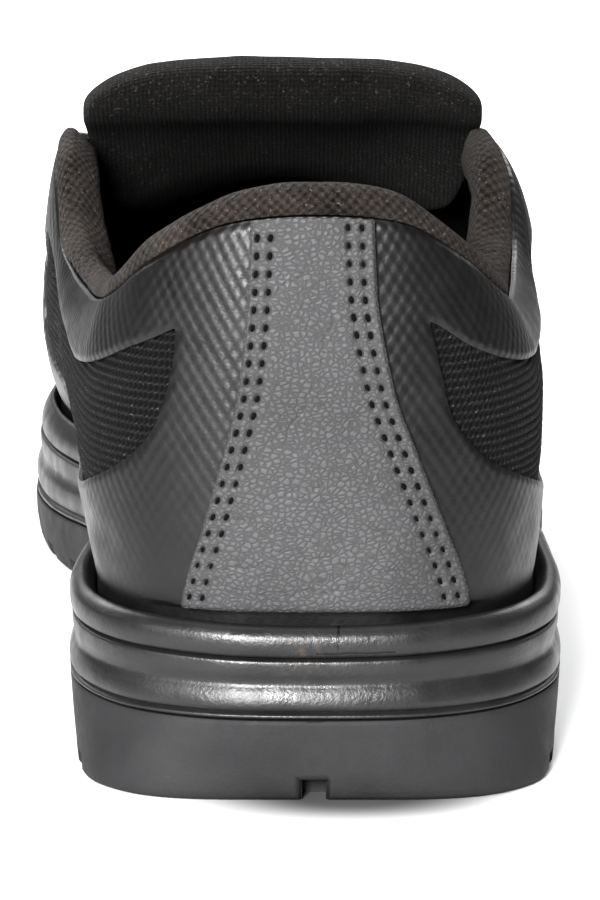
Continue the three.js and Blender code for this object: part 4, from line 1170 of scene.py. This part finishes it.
# the band is about 6 mm tall and the lining reaches about 24 mm down, for the textile's scale alone
section_height = parts["band"] * 6 + parts["depth"] * 24
section_length = np.concatenate([[0], np.cumsum(np.hypot(np.diff(parts["inset"]), np.diff(section_height)))])
collar_line = arc_lengths(wall_point(collar_fine, 11.5))
collar_u = np.repeat(collar_line - collar_line.mean(), count_section)
collar_v = np.tile(section_length, len(collar_fine))
tight = np.exp(-((rows_here - 5.6) / 1.2) ** 2)
pucker = 0.16 * np.sin(collar_u * 1.9 + 0.8 * np.sin(collar_v * 0.7)) * tight
pucker = pucker + 0.16 * ripple(collar_base, 9, 11) + 0.28 * ripple(collar_base, 26, 12)
shape = collar_base.reshape(len(collar_fine), count_section, 3)
cross_way = np.roll(shape, -1, 1) - np.roll(shape, 1, 1)
along_way = np.gradient(shape, axis=0)
roll_normal = np.cross(along_way, cross_way).reshape(-1, 3)
roll_normal /= np.maximum(np.linalg.norm(roll_normal, axis=1, keepdims=True), 1e-9)
outward = 1.0 if (roll_normal[2 * count_section + 6] @ collar_normal[2 * count_section + 6]) > 0 else -1.0
fade = smoothstep(section_grid, 2, 8) * (1 - smoothstep(section_grid, len(section) - 8, len(section) - 2))
collar_points = collar_base + roll_normal * (outward * pucker * fade)[:, None]
faces = grid_faces(len(collar_fine), count_section)
i = np.arange(len(collar_fine) - 1) * count_section
closing = np.stack([i + count_section - 1, i, i + count_section, i + 2 * count_section - 1], -1)
faces = [list(f) for f in np.vstack([faces, closing])]
last = (len(collar_fine) - 1) * count_section
faces += [list(range(count_section))[::-1], [last + n for n in range(count_section)]]


def closed_object(name, points, faces, uv, smooth=60):
    """A loft with its ends closed, and its normals turned out."""
    obj = make_object(name, points, faces, uv, smooth=smooth)
    bpy.ops.object.mode_set(mode="EDIT")
    bpy.ops.mesh.select_all(action="SELECT")
    bpy.ops.mesh.normals_make_consistent(inside=False)
    bpy.ops.object.mode_set(mode="OBJECT")
    return obj


collar_object = closed_object("collar_roll", collar_points, faces, np.column_stack([collar_u, collar_v]))

# %% [markdown]
# ## Tongue
# The tongue is a padded flap that stands up in the throat, with the same dark textile on the side that
# the foot meets. It is a loft of arched sections with a rounded nose, and its underside slopes down into
# the shoe. The room of the upper is taken away from it, so that it lies beside it without crossing.

# %% Tongue
# length and thickness of the rounded nose, its height, the fall of its corners and their roundness
TONGUE_NOSE, NOSE_THICKNESS, NOSE_TOP, NOSE_DROP, NOSE_POWER = 10.0, 12.0, 112.9, 4.5, 4.6
# the tongue's middle, and the fall of its nose for each mm that it runs forwards
TONGUE_X, NOSE_SLOPE = THROAT_X - 0.5, 0.30


def tongue_middle(s, side):
    """Points half way through the tongue, and its half thickness there."""
    place = np.interp(s / LENGTH, TONGUE["at"], np.arange(len(TONGUE["at"])))
    calm = np.maximum(place, 1.0)
    width = smooth_column(TONGUE["width"], calm) * TONGUE_WIDTH + 0.4
    drop = smooth_column(TONGUE["sag"], calm) * width * np.abs(side) ** smooth_column(TONGUE["power"], calm)
    nose = 1 - smoothstep(s, 0.355 * LENGTH, 0.440 * LENGTH)
    drop = mix(drop, NOSE_DROP * np.abs(side) ** NOSE_POWER, nose)
    nose_top = NOSE_TOP - NOSE_SLOPE * (s - TONGUE["at"][0] * LENGTH)
    top = mix(smooth_column(TONGUE["top"], calm) * TONGUE_HEIGHT, nose_top, nose)
    full_pad = 1 - smoothstep(s, 0.42 * LENGTH, 0.56 * LENGTH)
    thick = mix(smooth_column(TONGUE["padding"], calm) * TONGUE_PADDING, NOSE_THICKNESS, full_pad)
    from_end = np.clip((s - TONGUE["at"][0] * LENGTH) / TONGUE_NOSE, 0, 1)
    roundness = np.sqrt(np.maximum(0, 1 - (1 - from_end) ** 2))
    half_width = width / 2 * (1 - 0.04 * (1 - roundness))
    middle = np.stack([TONGUE_X + side * half_width, s, top - thick / 2 - drop], -1)
    return middle, thick / 2 * np.maximum(roundness, 0.02)


tongue_start, tongue_end = TONGUE["at"][0] * LENGTH, TONGUE["at"][-1] * LENGTH
tongue_stations = np.concatenate([tongue_start + TONGUE_NOSE * (1 - np.cos(np.linspace(0, math.pi / 2, 26))),
                                  np.linspace(tongue_start + TONGUE_NOSE, tongue_end, 84)[1:]])
tongue_turns = np.linspace(0, 2 * math.pi, 181)[:-1]
SIDE_ROUNDING = 0.50
tongue_s, turn = (g.ravel() for g in np.meshgrid(tongue_stations, tongue_turns, indexing="ij"))
side = np.cos(turn)
side = np.sign(side) * np.abs(side) ** 0.8
up_share = np.sign(np.sin(turn)) * np.abs(np.sin(turn)) ** SIDE_ROUNDING
middle, half_thick = tongue_middle(tongue_s, side)
tongue_flat = middle + np.column_stack([np.zeros(len(turn)), np.zeros(len(turn)), half_thick * up_share])
softness = 0.18 * ripple(tongue_flat, 26, 31) + 0.06 * ripple(tongue_flat, 7, 32)
tongue_flat[:, 2] += softness * smoothstep(tongue_s - tongue_start, 0.5, 5)
tongue_flat[:, 1] += 0.5 * softness
across_nose = arc_lengths(np.column_stack([tongue_stations, 8 * np.sqrt(np.clip(
    (tongue_stations - tongue_start) / TONGUE_NOSE, 0, 1))]))
across_nose = np.repeat(across_nose, len(tongue_turns))
tongue_uv = np.column_stack([tongue_flat[:, 0], across_nose * np.sign(up_share)])
count = len(tongue_turns)
faces = [list(f) for f in grid_faces(len(tongue_stations), count)]
i = np.arange(len(tongue_stations) - 1) * count
faces += [list(f) for f in np.stack([i + count - 1, i, i + count, i + 2 * count - 1], -1)]
faces += [list(range(count))[::-1], [(len(tongue_stations) - 1) * count + n for n in range(count)]]
tongue_object = closed_object("tongue_pad", tongue_flat, faces, tongue_uv)


def wall_shell(name, low, high, reach, loops, levels):
    """Closed shell between two offsets of the wall, used as a cutter."""
    loop, level = (g.ravel() for g in np.meshgrid(loops, levels, indexing="ij"))
    triangles = join_ridge(loop, level, as_triangles(grid_faces(len(loops), len(levels))))
    shell_outer = offset_wall(loop, level, np.full(len(loop), high), reach=reach)
    shell_inner = offset_wall(loop, level, np.full(len(loop), low), reach=reach)
    return thick_sheet(name, shell_outer, shell_inner, triangles)


room = wall_shell("upper_room", -UPPER_WALL - GAP, TONGUE_PADDING, 3 * GAP, even_loops(2.5, 2.5),
                  np.linspace(GIRTH_LEVEL, TOP_LEVEL, 22))
cut_away(tongue_object, room)
print("tongue after the upper's room:", len(tongue_object.data.polygons))

# %% [markdown]
# ## Finishes of the upper
# **Embossed synthetic.** The skin is polyurethane on a backing, rolled hot with a plate of small
# diamonds, 2.2 mm wide and 3.3 mm tall. Two crossing waves on the UV map give the diamonds. The pattern
# is pressed flat near the sole, where the skin was pulled over the last.

# %% Embossed synthetic skin
EMBOSS_WIDE, EMBOSS_TALL = 2.2, 3.3
# the distance from a window's edge, in mm, is nil on the cut face alone, which shows the paler backing
CUT_FACE = 0.0007


def embossed_material():
    material, node, feed = new_material("embossed_polyurethane", 0.4, 0.5)
    place = node("TexCoord", give="Object")
    uv = node("UVMap", uv_map="millimetres")
    u, v = node("SeparateXYZ", uv, give=0), node("SeparateXYZ", uv, give=1)
    sway = node("Math", node("TexNoise", place, None, per(9), 2.0, 0.5), 0.0006, operation="MULTIPLY")
    turns_u, turns_v = 2 * math.pi / (EMBOSS_WIDE * MM), 2 * math.pi / (EMBOSS_TALL * MM)
    across = node("Math", node("Math", node("Math", u, sway, operation="ADD"), turns_u, operation="MULTIPLY"),
                  operation="SINE")
    up = node("Math", node("Math", node("Math", v, sway, operation="ADD"), turns_v, operation="MULTIPLY"),
              operation="SINE")
    diamonds = node("MapRange", node("Math", across, up, operation="MULTIPLY"), -1.0, 1.0, 0.0, 1.0)
    keep = node("MapRange", v, 0.034, 0.058, 0.15, 1.0)
    relief = node("Math", diamonds, keep, operation="MULTIPLY")
    fine = node("TexNoise", place, None, per(0.45), 3.0, 0.6)
    soft = node("TexNoise", place, None, per(4.5), 3.0, 0.55)
    cloud = node("TexNoise", place, None, per(22), 4.0, 0.55)
    # painted shade: the pressed hollows of the diamonds are drawn darker than their raised tops
    share = node("Math", node("MapRange", cloud, 0.3, 0.7, 0.0, 0.7),
                 node("Math", relief, 0.3, operation="MULTIPLY"), operation="ADD")
    colour = node("Mix", share, named={6: from_hex("#0e0e0f"), 7: from_hex("#1d1d1e")}, give=2,
                  data_type="RGBA")
    edge = node("MapRange", node("Attribute", give="Fac", attribute_name="edge"), 0.0, CUT_FACE, 1.0, 0.0)
    feed("Base Color", node("Mix", edge, named={6: colour, 7: from_hex("#2e2e2e")}, give=2, data_type="RGBA"))
    feed("Roughness", node("MapRange", soft, 0.3, 0.7, 0.36, 0.48))
    pressed = node("Bump", 1.0, 0.10 * MM, named={"Height": relief})
    skin_grain = node("Math", fine, node("Math", soft, 2.0, operation="MULTIPLY"), operation="ADD")
    feed("Normal", node("Bump", 0.7, 0.06 * MM, named={"Height": skin_grain, "Normal": pressed}))
    return material


skin_object.data.materials.append(embossed_material())

# %% [markdown]
# ** Knit.** The windows show a polyester knit. Its ribs are in the mesh. The material draws the loops
# along each rib, slanted as a warp knit's are, and paints pale flecks on the yarn's tops: pale filaments with
# painted glints.

# %% Polyester knit
def knit_material():
    material, node, feed = new_material("polyester_knit", 0.8, 0.3)
    place = node("TexCoord", give="Object")
    uv = node("UVMap", uv_map="millimetres")
    u, v = node("SeparateXYZ", uv, give=0), node("SeparateXYZ", uv, give=1)
    sway = node("Math", node("TexNoise", place, None, per(2.2), 2.0, 0.5), 0.0009, operation="MULTIPLY")
    slant = node("Math", node("Math", v, 0.75, u, operation="MULTIPLY_ADD"), sway, operation="ADD")
    loops = node("Math", node("Math", slant, 2 * math.pi / (1.15 * MM), operation="MULTIPLY"),
                 operation="SINE")
    lift = node("Math", u, 0.02, v, operation="MULTIPLY_ADD")
    ribs = node("Math", node("Math", lift, 2 * math.pi / (KNIT_ROW * MM), operation="MULTIPLY"),
                operation="COSINE")
    yarn = node("Math", loops, 0.6, ribs, operation="MULTIPLY_ADD")
    fuzz = node("TexNoise", place, None, per(0.4), 3.0, 0.75)
    height = node("Math", fuzz, 1.8, yarn, operation="MULTIPLY_ADD")
    share = node("MapRange", height, -0.4, 2.3, 0.0, 1.0)
    dark = node("Mix", share, named={6: from_hex("#030303"), 7: from_hex("#262626")}, give=2,
                data_type="RGBA")
    flecks = node("MapRange", node("TexNoise", place, None, per(0.55), 4.0, 0.85), 0.58, 0.68, 0.0, 1.0)
    # pale flecks on the tops of the yarn: pale filaments with a painted glint on them
    painted_glint_flecks = node("Math", flecks, node("MapRange", yarn, -0.2, 1.0, 0.0, 0.9), operation="MULTIPLY")
    feed("Base Color", node("Mix", painted_glint_flecks, named={6: dark, 7: from_hex("#8d8c88")}, give=2, data_type="RGBA"))
    feed("Normal", node("Bump", 1.0, 0.35 * MM, named={"Height": height}))
    return material


knit_object.data.materials.append(knit_material())

# %% [markdown]
# **Pebbled leather.** The strip is coated split leather with a pebble grain. The mesh holds the larger
# creases. The material adds the pebbles, domes about 1 mm across from a Voronoi with bent coordinates.
# The valleys are darkened with painted shade, and the tops are rubbed smoother and shine a little more.
# The "pit" attribute paints shade into the pit round each stitch.

# %% Pebbled leather
PEBBLE_SIZE = 0.95


def pebbled_material():
    material, node, feed = new_material("pebbled_split_leather", 0.5, 0.35)
    place = node("TexCoord", give="Object")
    drift = node("TexNoise", place, None, per(2.4), 2.0, 0.5, give="Color")
    bend = node("VectorMath", drift, (0.0011, 0.0011, 0.0009), operation="MULTIPLY")
    bent = node("VectorMath", node("VectorMath", place, bend, operation="ADD"), (0.85, 1.0, 1.15),
                operation="MULTIPLY")
    valleys = node("TexVoronoi", bent, None, per(PEBBLE_SIZE), feature="DISTANCE_TO_EDGE")
    domes = node("MapRange", valleys, 0.0, 0.34, 0.0, 1.0, interpolation_type="SMOOTHERSTEP")
    small = node("TexVoronoi", bent, None, per(PEBBLE_SIZE * 0.45), feature="DISTANCE_TO_EDGE")
    small_domes = node("MapRange", small, 0.0, 0.35, 0.0, 1.0, interpolation_type="SMOOTHSTEP")
    grain = node("Math", small_domes, 0.28, domes, operation="MULTIPLY_ADD")
    soft = node("TexNoise", place, None, per(7), 3.0, 0.5)
    cloud = node("MapRange", node("TexNoise", place, None, per(24), 3.0, 0.5), 0.3, 0.7, 0.0, 1.0)
    body = node("Mix", cloud, named={6: from_hex("#454546"), 7: from_hex("#505051")}, give=2,
                data_type="RGBA")
    # painted shade: the valleys between the pebbles and the pit round each stitch are darkened towards near
    # black
    painted_valley_shade = node("MapRange", valleys, 0.0, 0.24, 0.42, 0.0)
    dark = node("Math", painted_valley_shade, node("Attribute", give="Fac", attribute_name="pit"), operation="MAXIMUM")
    feed("Base Color", node("Mix", dark, named={6: body, 7: from_hex("#040404")}, give=2, data_type="RGBA"))
    feed("Roughness", node("MapRange", grain, 0.2, 1.2, 0.66, 0.50))
    hollows = node("Bump", 1.0, 0.4 * MM, named={"Height": soft})
    feed("Normal", node("Bump", 1.0, 0.075 * MM, named={"Height": grain, "Normal": hollows}))
    return material


strip_object.data.materials.append(pebbled_material())

# %% [markdown]
# **Thread.** The stitches are bonded polyester thread, black and matt, of twisted plies. It gives no
# highlight, so the four rows show as dark dots.

# %% Thread
thread, node, feed = new_material("bonded_polyester_thread", 0.8, 0.15)
place = node("TexCoord", give="Object")
ply = node("TexNoise", place, None, per(0.35), 2.0, 0.5)
feed("Base Color", node("Mix", ply, named={6: from_hex("#020202"), 7: from_hex("#0d0d0d")}, give=2,
                        data_type="RGBA"))
feed("Normal", node("Bump", 1.0, 0.1 * MM, named={"Height": ply}))
stitches.data.materials.append(thread)

# %% [markdown]
# **Lining textile.** The collar is a brushed stretch textile: short loops in rows that run round the
# roll, in a black that has turned a little brown. Sheen gives the fuzz on its skyline. The tongue has
# the same yarn in a diagonal weave, and the insole's cover a plain one. The real loops are about
# 0.7 mm, too fine for a render of this size, so they are drawn a little coarser.

# %% Lining textiles
def textile_material(name, dark, light, loop_mm, slanted, sheen, fleck_share):
    material, node, feed = new_material(name, 0.95, 0.15, **{"Sheen Weight": sheen, "Sheen Roughness": 0.5})
    place = node("TexCoord", give="Object")
    uv = node("UVMap", uv_map="millimetres")
    sway = node("Math", node("TexNoise", place, None, per(3), 2.0, 0.5), 0.0007, operation="MULTIPLY")
    u = node("Math", node("SeparateXYZ", uv, give=0), sway, operation="ADD")
    v = node("Math", node("SeparateXYZ", uv, give=1), sway, operation="ADD")
    if slanted:
        u, v = node("Math", u, v, operation="ADD"), node("Math", u, v, operation="SUBTRACT")
    turns = math.pi / (loop_mm * MM)
    rows = [node("Math", node("Math", way, turns, operation="MULTIPLY"), operation="SINE") for way in (u, v)]
    loops = node("Math", *rows, operation="MULTIPLY")
    fuzz = node("TexNoise", place, None, per(loop_mm * 0.5), 3.0, 0.75)
    height = node("Math", loops, 0.45, node("Math", fuzz, 1.5, operation="MULTIPLY"),
                  operation="MULTIPLY_ADD")
    cloud = node("MapRange", node("TexNoise", place, None, per(8), 3.0, 0.6), 0.3, 0.7, 0.0, 0.5)
    share = node("Math", node("MapRange", height, 0.35, 1.25, 0.0, 0.75), cloud, operation="ADD")
    colour = node("Mix", share, named={6: from_hex(dark), 7: from_hex(light)}, give=2, data_type="RGBA")
    flecks = node("MapRange", node("TexNoise", place, None, per(0.6), 3.0, 0.85), 0.60, 0.70, 0.0,
                  fleck_share)
    feed("Base Color", node("Mix", flecks, named={6: colour, 7: from_hex("#8c857c")}, give=2,
                            data_type="RGBA"))
    feed("Normal", node("Bump", 1.0, 0.30 * MM, named={"Height": height}))
    return material


# piece, name, dark and light yarn, loop in mm, slanted, sheen, share of pale flecks
for lined, *yarn in (
        (collar_object, "brushed_stretch_textile", "#050404", "#3d3733", 0.95, False, 0.05, 0.6),
        (tongue_object, "diagonal_weave_textile", "#030303", "#1e1c1b", 0.8, True, 0.04, 0.5),
        (insole, "insole_cover_textile", "#080808", "#222221", 0.9, False, 0.05, 0.1)):
    lined.data.materials.clear()
    lined.data.materials.append(textile_material(*yarn))

# %% [markdown]
# ## Room, light and camera
# The photograph is a studio shot on a white floor. The floor is one large sheet, white round the shoe
# and a mid grey further out, so that less light comes back from the sides. A dark patch with a soft
# edge stands for the contact shadow behind the heel.

# %% Floor
bpy.ops.object.select_all(action="DESELECT")
bpy.ops.mesh.primitive_plane_add(size=9, location=(0, 2.2, 0))
floor_object = bpy.context.object
floor_object.name = "studio_floor"
bpy.ops.object.transform_apply(location=True, rotation=True, scale=True)
floor_paint, node, feed = new_material("pale_studio_floor", 0.6, 0.3)
place = node("TexCoord", give="Object")
beside = node("Math", node("SeparateXYZ", place, give=0), operation="ABSOLUTE")
inside_x = node("MapRange", beside, 0.12, 0.50, 1.0, 0.0, interpolation_type="SMOOTHSTEP")
inside_y = node("MapRange", node("SeparateXYZ", place, give=1), -0.26, -0.09, 0.0, 1.0,
                interpolation_type="SMOOTHSTEP")
sheet = node("Math", inside_x, inside_y, operation="MULTIPLY")
pale = node("Mix", sheet, named={6: from_hex("#767676"), 7: from_hex("#f6f6f6")}, give=2, data_type="RGBA")
# an oval round the back of the heel, with half axes of 1/30 m across and 1/55 m along
from_heel = node("VectorMath", node("VectorMath", place, (-0.006, 0.034, 0.0), operation="ADD"),
                 (30.0, 55.0, 0.0), operation="MULTIPLY")
shade = node("MapRange", node("VectorMath", from_heel, give=1, operation="LENGTH"), 0.25, 1.0, 0.85, 0.0,
             interpolation_type="SMOOTHSTEP")
feed("Base Color", node("Mix", shade, named={6: pale, 7: from_hex("#050505")}, give=2, data_type="RGBA"))
floor_object.data.materials.append(floor_paint)

# %% [markdown]
# The main light stands behind the photographer's left shoulder, so the strip shines and the right side
# falls into the dark. A weaker one fills the left side, two more draw the outer edges, and the boxes
# overhead and far off keep the floor white. All are large, so that their edges stay soft.

# %% Lights
world = bpy.data.worlds.new("studio")
bpy.context.scene.world = world
world.use_nodes = True
world.node_tree.nodes["Background"].inputs[0].default_value = (1, 1, 1, 1)
world.node_tree.nodes["Background"].inputs[1].default_value = 0.05


def soft_light(name, place, target, size, power):
    data = bpy.data.lights.new(name, "AREA")
    data.shape, data.size, data.size_y, data.energy = "RECTANGLE", size[0], size[1], power
    light = bpy.data.objects.new(name, data)
    light.location = place
    light.rotation_euler = (Vector(target) - Vector(place)).to_track_quat("-Z", "Y").to_euler()
    bpy.context.scene.collection.objects.link(light)


# name, place, what it points at, size in metres, power in watts
soft_light("overhead_box", (0, 0.25, 1.6), (0, 0.15, 0), (0.9, 0.9), 14)
soft_light("far_box", (0, 2.4, 1.8), (0, 2.2, 0), (4.0, 2.4), 175)
soft_light("behind_box", (-0.34, -1.4, 0.58), (0, 0, 0.06), (0.45, 0.45), 68)
soft_light("left_behind_box", (-1.15, -0.9, 0.6), (0, 0, 0.06), (0.6, 0.6), 7)
soft_light("right_rim_box", (0.75, 0.75, 0.6), (0, 0, 0.06), (0.5, 0.5), 1.6)
soft_light("left_rim_box", (-0.75, 0.75, 0.6), (0, 0, 0.06), (0.5, 0.5), 2.5)

# %% [markdown]
# The camera's place was solved from the heights and widths of the heel and the ball in the photograph:
# 0.7 m behind the heel, a little above the shoe, and pitched down by 11.85 degrees.

# %% Camera
CAMERA_PLACE, CAMERA_PITCH = (-0.0026, -0.73799, 0.206), math.radians(11.85)
camera_data = bpy.data.cameras.new("camera")
camera = bpy.data.objects.new("camera", camera_data)
bpy.context.scene.collection.objects.link(camera)
bpy.context.scene.camera = camera
camera_data.lens, camera_data.sensor_width = 177.64, 36.0
camera_data.clip_start, camera_data.clip_end = 0.05, 20
camera.location = CAMERA_PLACE
camera.rotation_euler = (math.pi / 2 - CAMERA_PITCH, 0, 0)
bpy.context.scene.view_settings.view_transform = "Standard"
bpy.context.scene.view_settings.gamma = 0.8

# %% [markdown]
# ## Finish
# Each piece rides on the shoe's one body and stands for the CAD node that it replaces. The stitches
# ride on it as well and replace none.

# %% Riding and replacing
pieces = {
    outsole: ("outsole", "sole_rubber"), midsole: ("midsole", "sole_foam"),
    insole: ("insole", "lining_textile"),
    skin_object: ("upper", "upper_leather"), knit_object: ("upper", "upper_leather"),
    strip_object: ("heel_strip", "grained_leather"), stitches: (None, "grained_leather"),
    collar_object: ("collar", "lining_textile"), tongue_object: ("tongue", "lining_textile"),
}
for piece, (node, slot) in pieces.items():
    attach(piece, "root")
    if node:
        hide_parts(node)
